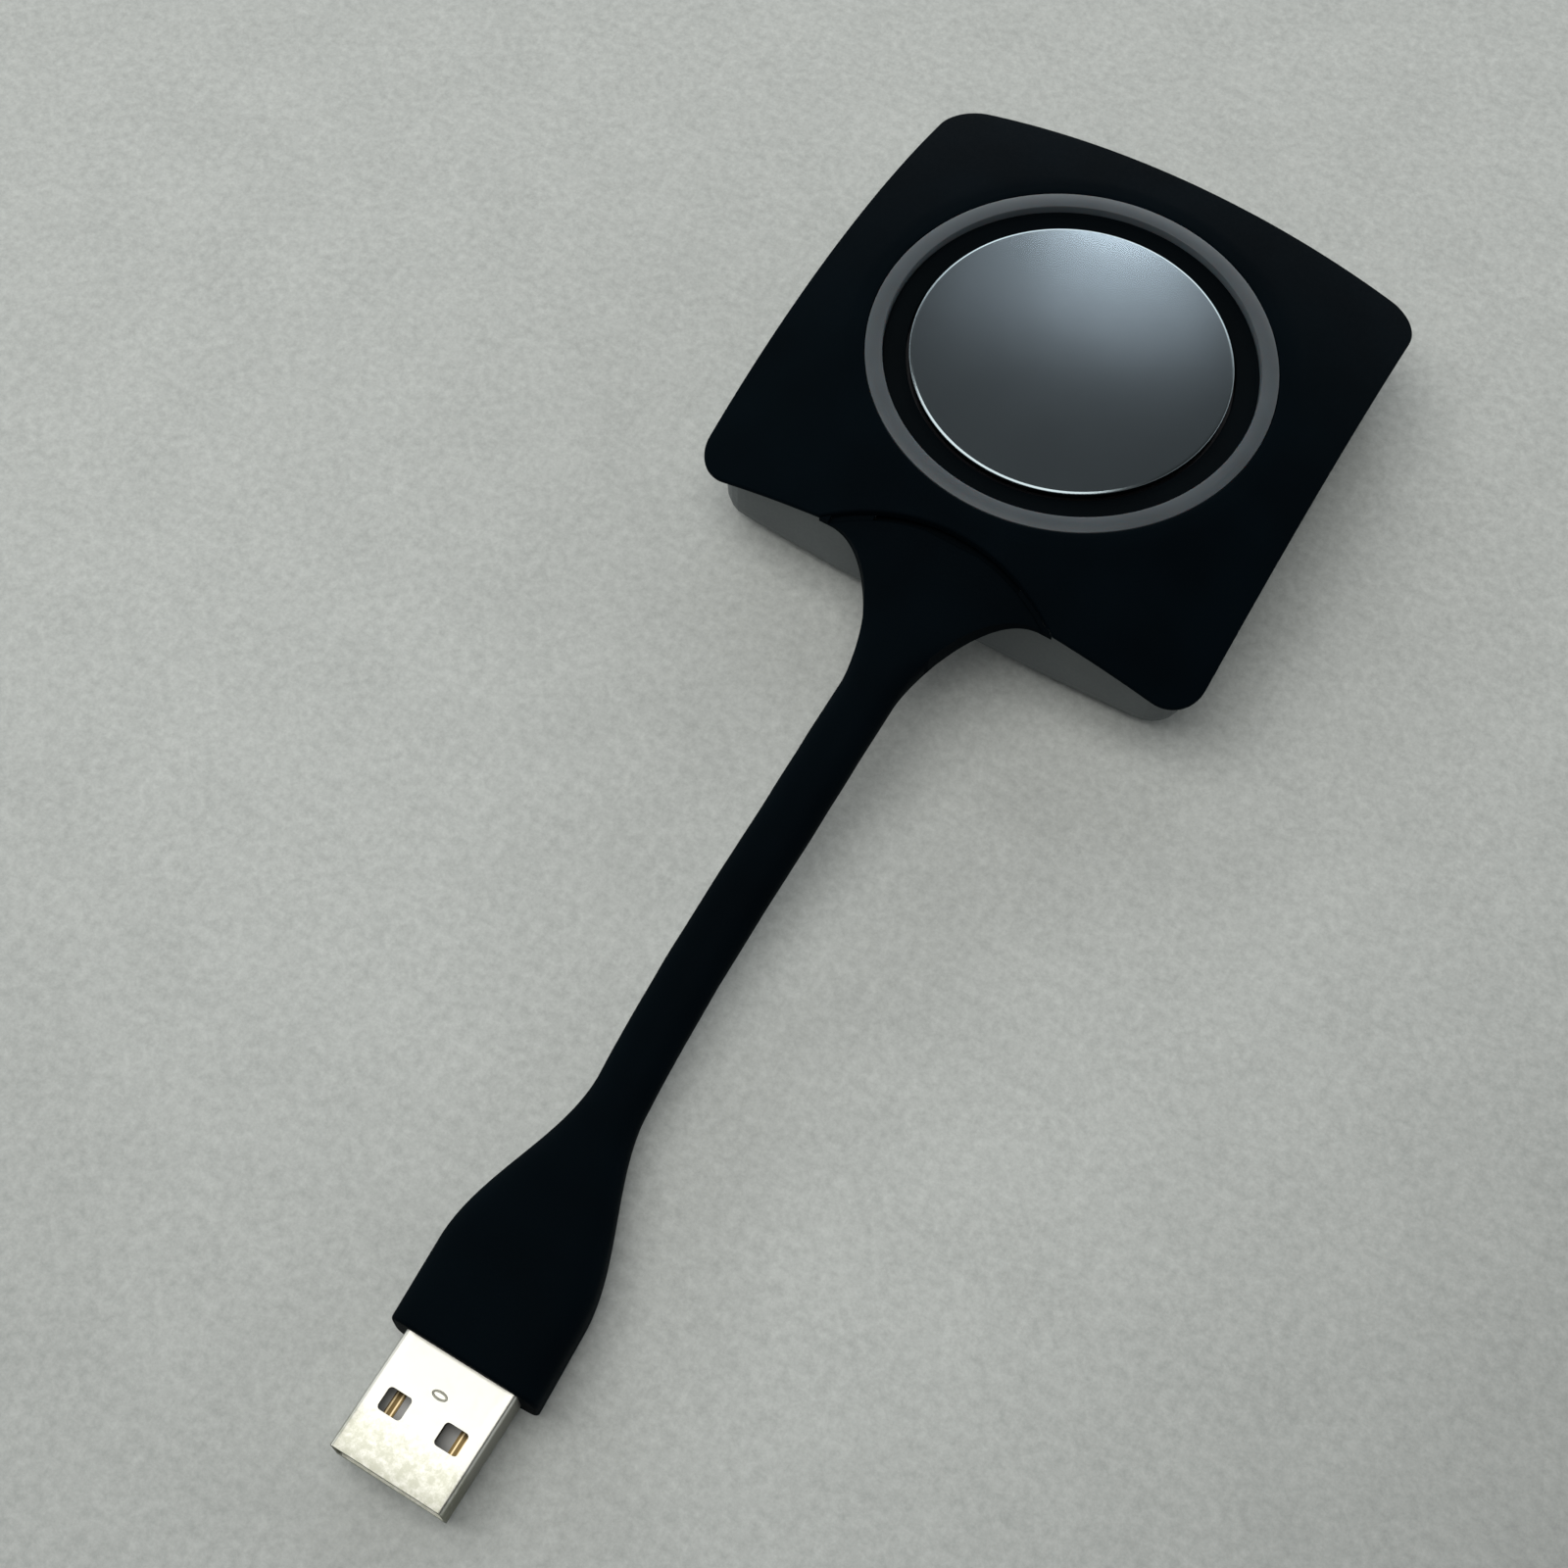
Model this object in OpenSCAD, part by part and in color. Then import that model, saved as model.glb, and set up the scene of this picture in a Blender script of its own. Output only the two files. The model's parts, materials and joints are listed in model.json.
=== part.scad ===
// Wireless presentation dongle: a flat square head with one large button in a ring of light,
// and a short flat cable, moulded in one piece with its collar and boot, that ends in a USB plug.
// The head stands on its feet at z = 0, centred on x = y = 0. The cable leaves it along -Y.

/* [Head] */
// Width and depth of the head across its flat sides
head_w = 59.3; // [58:0.1:61]
// Corner radius of the head seen from above
head_corner_r = 4.2; // [3.6:0.1:5]
// Radius of the sphere that the cover's top follows
dome_r = 93; // [86:0.5:110]
// Height of the cover's top edge at the middle of a side
cover_edge_z = 14.1; // [13.9:0.1:15]
// Wall of the cover
cover_wall = 1.0; // [0.8:0.1:1.2]
// Thickness of the cover's outer edge
cover_edge_t = 0.5; // [0.4:0.05:0.7]
// Width of the step that leaves that edge thinner than the wall
cover_step_w = 0.6; // [0.4:0.05:0.7]
// Wall of the lip and of the ring skirt under the cover
cover_lip_wall = 1.0; // [0.8:0.1:1.2]
// Height of the lip that drops inside the bottom shell
cover_lip_h = 4.5; // [3:0.1:5.5]

/* [Light ring and bezel] */
// Distance from the light ring to the flat sides of the head
ring_margin = 7.55; // [7.3:0.05:7.9]
// Width of the light ring seen from above
ring_w = 1.9; // [1.5:0.05:2.1]
// Depth of the light ring's outer edge below the domed surface
ring_recess = 0.3; // [0.1:0.05:0.5]
// Width of the flatter band that the cover has around the light ring
ring_land_w = 2.0; // [1:0.1:2.6]
// Width of the foot that keeps the light ring under the cover
ring_foot_w = 1.1; // [0.8:0.1:1.2]
// Thickness of the foot of the light ring
ring_foot_t = 1.0; // [0.8:0.1:1.4]
// Depth of the black bezel below the light ring
bezel_recess = 0.8; // [0.4:0.1:1.2]
// Thickness of the bezel's flange
bezel_t = 1.0; // [0.8:0.1:1.3]
// Wall of the bezel's skirt, which stands on the board
bezel_skirt_wall = 1.2; // [1:0.1:1.4]

/* [Button] */
// Width of the black band between the light ring and the button
bezel_band = 2.85; // [2.7:0.05:3.1]
// Thickness of the metal button at its edge
cap_edge_t = 0.9; // [0.8:0.1:1.1]
// Rise of the button's middle above its edge
cap_crown = 0.4; // [0.2:0.05:0.6]
// Bright chamfer round the button's top edge
cap_chamfer = 0.35; // [0.2:0.05:0.5]
// Depth of the button's edge below the light ring
cap_drop = 0.1; // [0:0.05:0.3]
// Running gap round the button
button_gap = 0.3; // [0.25:0.05:0.4]
// Travel of the button
button_travel = 0.5; // [0.3:0.05:0.6]
// Thickness of the carrier's flange under the bezel
carrier_flange_t = 1.0; // [0.8:0.1:1.2]
// Number of ribs under the carrier
carrier_ribs = 8; // [6:1:10]

/* [Bottom shell] */
// Distance from the cover's edge to the shell's wall below it
shell_inset = 1.2; // [1:0.1:1.4]
// Bow of each side of the shell
shell_bow = 0.7; // [0.4:0.1:0.9]
// Corner radius of the shell, with its bow
shell_corner_r = 4.6; // [4.2:0.1:5]
// Radius of the shell's bottom edge
shell_edge_r = 2.4; // [2:0.1:2.6]
// Radius between the shell's floor and its walls, inside
shell_inner_r = 1.0; // [0.8:0.1:1.2]
// Wall of the shell
shell_wall = 1.4; // [1.2:0.1:1.5]
// Thickness of the shell's floor
floor_t = 1.4; // [1.2:0.1:1.6]
// Width of the channel under the head that stores the folded cable
channel_w = 6.7; // [6.5:0.1:6.9]
// Depth of that channel
channel_depth = 4.4; // [4.3:0.1:4.6]
// Thickness of the channel's roof and sides inside the shell
channel_wall = 1.2; // [1:0.1:1.3]

/* [Feet and screws] */
// Distance of the feet and the housing screws from the head's sides
foot_inset = 8.15; // [7.85:0.05:8.45]
// Radius of a rubber foot
foot_r = 3.2; // [2.8:0.1:3.4]
// Height of a foot below the shell
foot_h = 0.5; // [0.4:0.1:0.7]
// Depth of a foot in the shell
foot_seat = 0.6; // [0.5:0.1:0.7]
// Radius of the housing screws' shank
screw_r = 1.0; // [0.9:0.05:1.1]
// Radius of the housing screws' head
screw_head_r = 1.8; // [1.6:0.1:1.9]
// Height of the housing screws' head
screw_head_h = 1.2; // [1:0.1:1.3]
// Length of the housing screws' shank
screw_len = 6.5; // [5:0.1:7]
// Wall of the bosses round the housing screws
boss_wall = 1.6; // [1.4:0.1:1.7]

/* [Board] */
// Distance from the board's edges to the head's sides
board_inset = 6.15; // [6.05:0.05:6.6]
// Board that is left outside the middle of its posts, towards the corners
board_rim = 2.6; // [2.2:0.1:2.8]
// Thickness of the board
board_t = 1.0; // [0.8:0.1:1.2]
// Gap between the channel's roof and the board
board_gap = 0.4; // [0.3:0.1:0.6]
// Distance of the middle of the board's posts outside the light ring
post_out = 0.8; // [0.6:0.1:1.2]
// Radius of the board's posts
post_r = 2.3; // [2:0.1:2.6]
// Radius of the board screws' shank
board_screw_r = 0.8; // [0.7:0.05:0.9]
// Radius of the board screws' head
board_screw_head_r = 1.5; // [1.3:0.05:1.55]
// Height of the board screws' head
board_screw_head_h = 0.8; // [0.6:0.05:0.9]
// Length of the board screws' shank
board_screw_len = 4.4; // [4:0.1:4.6]

/* [Cable collar] */
// Radius of the arc where the collar meets the cover
collar_arc_r = 24.4; // [23:0.1:26]
// Distance between that arc and the light ring
arch_gap = 3.3; // [3.15:0.05:3.5]
// Gap between the collar's arc and the cover
collar_gap = 0.5; // [0.4:0.05:0.7]
// Depth of the collar's top below the domed surface
collar_recess = 0.8; // [0.6:0.05:1]
// Thickness of the collar where it leaves the head
collar_t = 1.4; // [1.2:0.1:1.6]
// Distance that the collar's tongue reaches under the cover
tongue_reach = 0.6; // [0.4:0.05:0.7]
// Depth of the tongue's top below the underside of the cover
tongue_drop = 0.6; // [0.4:0.05:0.8]
// Radius of the wires inside the head
wire_r = 0.4; // [0.3:0.05:0.45]
// Distance between the collar's flank and the end of the cover's arc
collar_tip_gap = 1.95; // [1.8:0.05:2.2]

/* [Flat cable] */
// Width of the flat cable
cable_w = 5.9; // [5.6:0.1:6.1]
// Thickness of the flat cable
cable_t = 4.0; // [3.6:0.1:4.1]

/* [Plug] */
// Width of the USB plug's metal shell
plug_w = 12.0; // [11.8:0.05:12.2]
// Height of the USB plug's metal shell
plug_h = 4.5; // [4.4:0.05:4.6]
// Wall of the metal shell
plug_wall = 0.3; // [0.25:0.05:0.4]
// Corner radius of the metal shell
plug_corner_r = 0.6; // [0.5:0.05:0.8]
// Length of the metal shell outside the boot
plug_out = 12.0; // [11.8:0.1:13]
// Length of the metal shell inside the boot
plug_in = 6.7; // [6:0.1:7]
// Width of the boot where the plug leaves it
boot_w = 15.9; // [15.4:0.1:16.2]
// Thickness of the boot where the plug leaves it
boot_h = 7.2; // [7:0.1:7.4]
// Length of the boot
boot_len = 29.5; // [28:0.1:31]
// Length over which the boot widens
boot_swell_len = 21; // [18:0.5:22]

/* [Hidden] */
$fn = 96;
// Overrun of cuts past the faces that they open
over = 0.5;
// Clearance of pieces that drop into each other
slip = 0.1;
// Clearance round a screw's shank
screw_slip = 0.05;
// Clearance of the soft collar over its shelf, and of the cover over the shell's rim
rest_gap = 0.03;
// Facets of the sphere that the cover follows, and steps of the button's crown
DOME_FN = 180;
CROWN_STEPS = 8;
head_half = head_w / 2;

// The dome: a sphere on the head's axis
function sag(r) = dome_r - sqrt(dome_r * dome_r - r * r);
dome_apex = cover_edge_z + sag(head_half);
function dome_z(r) = dome_apex - sag(r);

// Ring, bezel and button, from the dome down
ring_r = head_half - ring_margin;
ring_z = dome_z(ring_r) - ring_recess;
ring_in_r = ring_r - ring_w;
cap_r = ring_in_r - bezel_band;
bezel_z = ring_z - bezel_recess;
bezel_out_r = ring_in_r - slip;
bezel_hole_r = cap_r + button_gap;
bezel_skirt_r = bezel_out_r - bezel_skirt_wall;
cap_edge_z = ring_z - cap_drop;
cap_bottom_z = cap_edge_z - cap_edge_t;
crown_r = (cap_r * cap_r + cap_crown * cap_crown) / (2 * cap_crown);
function crown_z(r) = cap_edge_z + cap_crown - crown_r + sqrt(crown_r * crown_r - r * r);
carrier_r = cap_r - slip;
carrier_flange_r = bezel_skirt_r - button_gap;
carrier_flange_z = bezel_z - bezel_t - slip;
carrier_bottom_z = carrier_flange_z - carrier_flange_t;
carrier_rib_t = 1.0;
carrier_boss_r = 2.2;
skirt_hole_r = ring_r + slip;
skirt_r = skirt_hole_r + cover_lip_wall;
ring_foot_r = ring_r + ring_foot_w;

// Shell, channel and board, from the table up
shell_z = foot_h;
floor_z = shell_z + floor_t;
inner_z = shell_z + floor_t / 2;
channel_z = shell_z + channel_depth;
board_z = channel_z + channel_wall + board_gap;
board_top = board_z + board_t;
board_w = head_w - 2 * board_inset;
post_at = (ring_r + post_out) / sqrt(2);
board_corner_at = ring_r + post_out + board_rim;
shell_half = head_half - shell_inset;
lip_at = shell_wall + slip;
lip_z = cover_edge_z - cover_wall - cover_lip_h;
EDGE_STEPS = 4;
SIDE_STEPS = 4;
CORNER_STEPS = 6;

// Switch under the button: its body, plunger and the carrier's ribs share the height that is left
stack = carrier_bottom_z - board_top;
switch_share = 0.555;
plunger_share = 0.16;
rib_share = 0.97;
switch_w = 6.2;
plunger_r = 1.7;
plunger_in = 1.0;
plunger_play = 0.05;
switch_top = board_top + switch_share * stack;
plunger_top = switch_top + plunger_share * stack;
carrier_rib_h = rib_share * (carrier_bottom_z - plunger_top - plunger_play);

// Feet and screws
foot_at = head_half - foot_inset;
foot_top = shell_z + foot_seat;
screw_seat_z = foot_top + screw_head_h;
boss_top = screw_seat_z + boss_wall;
boss_r = screw_head_r + boss_wall;
cover_boss_r = screw_r + boss_wall;
screw_end_room = 0.8;
led_r = (ring_in_r + ring_r) / 2;
led_count = 12;
led_size = [0.8, 1.6, 0.7];
led_gap = 0.8;
ring_bottom = board_top + led_size[2] + led_gap;

// Parts on the board inside the bezel's skirt: place of the middle and size, as shares of its
// radius, then height
can_at_share = [0, 0.582];
can_share = [0.741, 0.582];
can_h_share = 0.43;
can_wall = 0.3;
processor_at_share = [-0.556, -0.106];
processor_share = [0.476, 0.476];
processor_t = 1.2;
memory_at_share = [0.529, -0.053];
memory_share = [0.317, 0.423];
memory_t = 1.0;
crystal_at_share = [-0.317, -0.556];
crystal_share = [0.169, 0.132];
crystal_t = 0.8;
inductor_at_share = [0.344, -0.556];
inductor_share = [0.212, 0.212];
inductor_h_share = 0.36;
capacitor_at_share = [0, -0.344];
capacitor_size = [1.0, 0.6, 0.6];
capacitor_pitch = 1.5;
capacitor_count = 5;
// Antennas at the board's edges, and the connector under its front edge, clear of a post
antenna_size = [1.2, 6, 1.2];
board_edge = 0.3;
antenna_at = [board_w / 2 - board_edge - antenna_size[0] / 2, 6.2];
tunnel_w = channel_w + 2 * channel_wall;
wire_count = 4;
wire_pitch = 3 * wire_r;
connector_wall = 0.6;
connector_side = 0.5;
connector_gap = 0.6;
connector_back = 0.5;
connector_w = wire_count * wire_pitch + 2 * (connector_wall + connector_side);
connector_l = board_w / 2 - board_edge - post_at - post_r - connector_back;
connector_h = 2 * (wire_r + connector_wall + slip);
connector_at = [(tunnel_w + connector_w) / 2 + connector_gap,
    board_edge + (connector_l - board_w) / 2];

// Collar and shelf: where the arc's middle lies, how far in the collar's tips lie as a share of
// its reach, and how much its top and its underside bend on the way to the cable
collar_reach = ring_margin - arch_gap;
collar_y = collar_reach - head_half - collar_arc_r;
arch_half = sqrt(pow(collar_arc_r, 2) - pow(collar_arc_r - collar_reach, 2));
collar_flare = arch_half - collar_tip_gap - cable_w / 2;
collar_tip_share = 0.05;
collar_top_share = 0.4;
collar_under_share = 0.6;
collar_tip_y = -head_half + collar_tip_share * collar_reach;
collar_top_z = dome_z(-collar_tip_y) - collar_recess;
shelf_z = collar_top_z - collar_t;
shelf_margin = 1.0;
// Wires from the collar to the board's connector
wire_rise = 0.9;
wire_out = 1.4;
wire_z = shelf_z + wire_rise;
wire_y = -board_w / 2 - wire_out;
wire_low_z = board_z - connector_h / 2;
notch_back = 0.9;
notch_depth = 1.4;

// Route of the flat cable's middle, from the collar's face to the boot's face
CABLE_ROUTE = [[0.3, -44, 9.4], [0.25, -47, 9], [0.2, -50, 8.6], [0.2, -53, 8.2],
    [0.15, -56, 7.75], [0.15, -59, 7.3], [0.1, -62, 6.9], [0.05, -65, 6.5], [0, -68, 6.1],
    [0, -71, 5.7], [0, -74, 5.3], [0, -77, 4.95], [0.1, -80, 4.6], [0.2, -83, 4.3],
    [0.35, -86, 4.05], [0.5, -88.4, 3.87], [0.7, -90.8, 3.72]];
CABLE_SIDES = 12;
MOULD_SIDES = 32;
COLLAR_STEPS = 14;
BOOT_STEPS = 14;
// Squareness of the sections: a flat strap, the collar at the head, and the boot at the plug
cable_square = 2.8;
collar_square = 5;
boot_square = 4.5;
cable_start = CABLE_ROUTE[0];
cable_end = CABLE_ROUTE[len(CABLE_ROUTE) - 1];
plug_x = 2.3;
plug_z = boot_h / 2;
boot_y = cable_end[1] - boot_len;
tongue_t = 1.95;
tongue_back = 0.3;
contact_w = 1.0;
contact_t = 0.1;
contact_len = 8.6;
contact_back = 1.2;
// Places of the four contacts and the two windows across the plug, as shares of its width
contact_shares = [-0.2917, -0.0833, 0.0833, 0.2917];
window_shares = [-0.254, 0.254];
window_size = [2.5, 2.3];
window_at = 5.9;

// Points of the shell's bowed square outline, moved inwards by d
function side_point(h, r, u) = [u * (h - r), -h + shell_bow * u * u];
function turned(p, a) = [p[0] * cos(a) - p[1] * sin(a), p[0] * sin(a) + p[1] * cos(a)];
function outline(d) = let (h = shell_half - d, r = shell_corner_r - d) [
    for (k = [0:3]) each [
        for (i = [0:SIDE_STEPS]) turned(side_point(h, r, 2 * i / SIDE_STEPS - 1), 90 * k),
        for (i = [1:CORNER_STEPS - 1]) let (a = -90 + 90 * i / CORNER_STEPS)
            turned([h - r + (r - shell_bow) * cos(a), r - h + (r - shell_bow) * sin(a)], 90 * k)
    ]
];

// A closed skin through rings that all have the same number of points
module skin(rings) {
    n = len(rings[0]);
    last = len(rings) - 1;
    sides = [for (k = [0:last - 1], i = [0:n - 1]) let (a = k * n + i, b = k * n + (i + 1) % n)
        each [[a, a + n, b], [b, a + n, b + n]]];
    ends = [[for (i = [0:n - 1]) i], [for (i = [n - 1:-1:0]) last * n + i]];
    polyhedron(points = [for (ring = rings) each ring], faces = concat(sides, ends));
}

// Solid of the shell's outline with a rounded bottom edge, moved inwards by d
module tray(d, edge_r, bottom_z, top_z) {
    steps = [for (i = [0:EDGE_STEPS]) 90 * i / EDGE_STEPS];
    levels = concat(
        [for (a = steps) [d + edge_r * (1 - sin(a)), bottom_z + edge_r * (1 - cos(a))]],
        [[d, top_z]]
    );
    skin([for (level = levels) [for (p = outline(level[0])) [p[0], p[1], level[1]]]]);
}

module dome_ball(depth) {
    translate([0, 0, dome_apex - dome_r]) sphere(r = dome_r - depth, $fn = DOME_FN);
}

module rounded_square(w, r) {
    square([w, w - 2 * r], center = true);
    square([w - 2 * r, w], center = true);
    for (x = [-1, 1], y = [-1, 1]) translate([x * (w / 2 - r), y * (w / 2 - r)]) circle(r = r);
}

module at_corners(distance) {
    for (x = [-1, 1], y = [-1, 1]) translate([x * distance, y * distance, 0]) children();
}

// Upright cylinder from one height to another
module post(r, z0, z1) {
    translate([0, 0, z0]) cylinder(r = r, h = z1 - z0);
}

// Box on the board, or under it where z is below
module chip(at, size, z) {
    translate([at[0] - size[0] / 2, at[1] - size[1] / 2, z]) cube(size);
}

// Cylinder of the arc where the collar enters the head
module collar_arc(grow, z0, z1) {
    translate([0, collar_y, 0]) post(collar_arc_r + grow, z0, z1);
}

module top_cover() {
    color([0.04, 0.045, 0.055]) difference() {
        union() {
            difference() {
                intersection() {
                    linear_extrude(dome_apex) rounded_square(head_w, head_corner_r);
                    dome_ball(0);
                }
                dome_ball(cover_wall);
                edge_step();
            }
            intersection() {
                cover_inside();
                dome_ball(cover_wall / 2);
            }
        }
        post(skirt_hole_r, 0, dome_apex);
        ring_land();
        collar_arc(0, 0, dome_apex);
        at_corners(foot_at) post(screw_r + screw_slip, 0, screw_seat_z + screw_len + screw_end_room);
    }
}

// What is cut from under the cover's rim, so that a thin edge overhangs
module edge_step() {
    difference() {
        dome_ball(cover_edge_t);
        linear_extrude(dome_apex)
            rounded_square(head_w - 2 * cover_step_w, head_corner_r - cover_step_w);
    }
}

// What hangs under the cover: the skirt round the light ring, the lip and the screw bosses
module cover_inside() {
    post(skirt_r, ring_bottom + ring_foot_t, dome_apex);
    at_corners(foot_at) post(cover_boss_r, boss_top, dome_apex);
    difference() {
        translate([0, 0, lip_z]) linear_extrude(dome_apex - lip_z) difference() {
            polygon(outline(lip_at));
            polygon(outline(lip_at + cover_lip_wall));
        }
        lip_gate();
    }
}

// Room in the lip for the shelf that carries the collar
module lip_gate() {
    gate_w = 2 * (arch_half + shelf_margin);
    translate([-gate_w / 2, -head_half, 0]) cube([gate_w, head_half / 2, dome_apex]);
}

// Flatter band of the cover round the light ring
module ring_land() {
    land_r = ring_r + ring_land_w;
    rotate_extrude() polygon([[0, ring_z], [ring_r, ring_z], [land_r, dome_z(land_r)],
        [land_r, dome_apex], [0, dome_apex]]);
}

module light_ring() {
    lift = ring_recess / 3;
    color([0.5, 0.53, 0.56]) rotate_extrude() polygon([
        [ring_in_r, ring_bottom], [ring_foot_r, ring_bottom],
        [ring_foot_r, ring_bottom + ring_foot_t], [ring_r, ring_bottom + ring_foot_t],
        [ring_r, ring_z], [ring_in_r, ring_z + lift]
    ]);
}

module inner_bezel() {
    color([0.03, 0.03, 0.035]) rotate_extrude() polygon([
        [bezel_skirt_r, board_top], [bezel_out_r, board_top], [bezel_out_r, bezel_z],
        [bezel_hole_r, bezel_z], [bezel_hole_r, bezel_z - bezel_t],
        [bezel_skirt_r, bezel_z - bezel_t]
    ]);
}

module button_cap() {
    top_r = cap_r - cap_chamfer;
    crown = [for (i = [0:CROWN_STEPS]) let (r = top_r * (1 - i / CROWN_STEPS)) [r, crown_z(r)]];
    color([0.45, 0.47, 0.5]) rotate_extrude() polygon(concat(
        [[0, cap_bottom_z], [cap_r, cap_bottom_z], [cap_r, cap_edge_z - cap_chamfer]], crown));
}

module button_carrier() {
    color([0.08, 0.08, 0.09]) {
        post(carrier_r, carrier_flange_z, cap_bottom_z);
        post(carrier_flange_r, carrier_bottom_z, carrier_flange_z);
        post(carrier_boss_r, plunger_top + plunger_play, carrier_bottom_z);
        for (i = [0:carrier_ribs - 1]) rotate(360 * i / carrier_ribs)
            translate([0, -carrier_rib_t / 2, carrier_bottom_z - carrier_rib_h])
                cube([carrier_r - carrier_rib_t, carrier_rib_t, carrier_rib_h]);
    }
}

module switch_body() {
    color([0.12, 0.12, 0.12]) difference() {
        chip([0, 0], [switch_w, switch_w, switch_top - board_top], board_top);
        post(plunger_r + slip, switch_top - plunger_in - button_travel - slip, switch_top + over);
    }
}

module switch_plunger() {
    color([0.75, 0.74, 0.7]) post(plunger_r, switch_top - plunger_in, plunger_top);
}

module bottom_shell() {
    color([0.3, 0.31, 0.32]) difference() {
        intersection() {
            union() {
                difference() {
                    tray(0, shell_edge_r, shell_z, dome_apex);
                    tray(shell_wall, shell_inner_r, floor_z, dome_apex + over);
                }
                intersection() {
                    shell_inside();
                    tray(shell_wall / 2, shell_edge_r - shell_wall / 2, inner_z, dome_apex);
                }
            }
            dome_ball(cover_wall + rest_gap);
        }
        shell_cuts();
    }
}

// What stands on the shell's floor: the channel's tunnel, the shelf, posts and bosses
module shell_inside() {
    translate([-tunnel_w / 2, -head_half, inner_z])
        cube([tunnel_w, head_w, channel_z + channel_wall - inner_z]);
    collar_arc(shelf_margin, inner_z, shelf_z);
    at_corners(post_at) post(post_r, inner_z, board_z);
    at_corners(foot_at) post(boss_r, inner_z, boss_top - slip);
}

module shell_cuts() {
    notch_w = wire_count * wire_pitch + wire_r;
    translate([-channel_w / 2, -head_half, 0]) cube([channel_w, head_w, channel_z]);
    collar_arc(0, shelf_z, dome_apex);
    translate([connector_at[0] - notch_w / 2, wire_y - notch_back, floor_z])
        cube([notch_w, notch_depth, dome_apex]);
    at_corners(post_at)
        post(board_screw_r + screw_slip, board_top - board_screw_len - slip, board_z + over);
    at_corners(foot_at) {
        post(foot_r, 0, foot_top);
        post(screw_head_r + slip, 0, screw_seat_z);
        post(screw_r + screw_slip, 0, dome_apex);
    }
}

module main_board() {
    color([0.05, 0.25, 0.15]) difference() {
        intersection() {
            translate([-board_w / 2, -board_w / 2, board_z]) cube([board_w, board_w, board_t]);
            post(board_corner_at, board_z, board_top);
        }
        at_corners(post_at) post(board_screw_r + screw_slip, board_z - over, board_top + over);
    }
}

// Part inside the bezel's skirt
module board_part(at_share, share, h) {
    chip(bezel_skirt_r * at_share, concat(bezel_skirt_r * share, [h]), board_top);
}

module shield_can() {
    can_h = can_h_share * stack;
    wall_share = 2 * can_wall / bezel_skirt_r;
    color([0.75, 0.76, 0.78]) difference() {
        board_part(can_at_share, can_share, can_h);
        board_part(can_at_share, can_share - [wall_share, wall_share], can_h - can_wall);
    }
}

module processor_chip() {
    color([0.1, 0.1, 0.11]) board_part(processor_at_share, processor_share, processor_t);
}

module memory_chip() {
    color([0.1, 0.1, 0.11]) board_part(memory_at_share, memory_share, memory_t);
}

module crystal() {
    color([0.8, 0.8, 0.78]) board_part(crystal_at_share, crystal_share, crystal_t);
}

module power_inductor() {
    color([0.2, 0.2, 0.21]) board_part(inductor_at_share, inductor_share, inductor_h_share * stack);
}

module board_capacitors() {
    middle = (capacitor_count - 1) / 2;
    color([0.6, 0.5, 0.35]) for (i = [0:capacitor_count - 1])
        chip(bezel_skirt_r * capacitor_at_share + [(i - middle) * capacitor_pitch, 0],
            capacitor_size, board_top);
}

module antenna_left() {
    color([0.85, 0.85, 0.8]) chip([-antenna_at[0], antenna_at[1]], antenna_size, board_top);
}

module antenna_right() {
    color([0.85, 0.85, 0.8]) chip(antenna_at, antenna_size, board_top);
}

module status_leds() {
    color([0.9, 0.9, 0.85]) for (i = [0:led_count - 1]) rotate(360 * i / led_count)
        chip([led_r, 0], led_size, board_top);
}

module board_connector() {
    pocket_h = connector_h - 2 * connector_wall;
    color([0.85, 0.83, 0.75]) difference() {
        chip(connector_at, [connector_w, connector_l, connector_h], board_z - connector_h);
        chip(connector_at - [0, connector_wall],
            [connector_w - 2 * connector_wall, connector_l, pocket_h], wire_low_z - pocket_h / 2);
    }
}

// One wire at x: out of the collar, down past the board's edge and back to the connector
module wire() {
    wire_end_y = connector_at[1] + connector_l / 2 - 2 * connector_wall;
    start_y = collar_y + collar_arc_r - 2 * slip;
    translate([0, start_y, wire_z]) rotate([-90, 0, 0]) cylinder(r = wire_r, h = wire_y - start_y);
    translate([0, wire_y, wire_z]) sphere(r = wire_r);
    translate([0, wire_y, wire_low_z]) cylinder(r = wire_r, h = wire_z - wire_low_z);
    translate([0, wire_y, wire_low_z]) sphere(r = wire_r);
    translate([0, wire_y, wire_low_z]) rotate([-90, 0, 0])
        cylinder(r = wire_r, h = wire_end_y - wire_y);
}

module cable_wires() {
    middle = (wire_count - 1) / 2;
    color([0.7, 0.2, 0.15]) for (i = [0:wire_count - 1])
        translate([connector_at[0] + (i - middle) * wire_pitch, 0, 0]) wire($fn = 24);
}

module board_screws() {
    color([0.7, 0.7, 0.72]) at_corners(post_at) {
        post(board_screw_head_r, board_top, board_top + board_screw_head_h);
        post(board_screw_r, board_top - board_screw_len, board_top);
    }
}

module housing_screws() {
    color([0.7, 0.7, 0.72]) at_corners(foot_at) {
        post(screw_head_r, foot_top, screw_seat_z);
        post(screw_r, screw_seat_z, screw_seat_z + screw_len);
    }
}

module rubber_feet() {
    color([0.1, 0.1, 0.1]) at_corners(foot_at) post(foot_r - slip, 0, foot_top);
}

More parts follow.
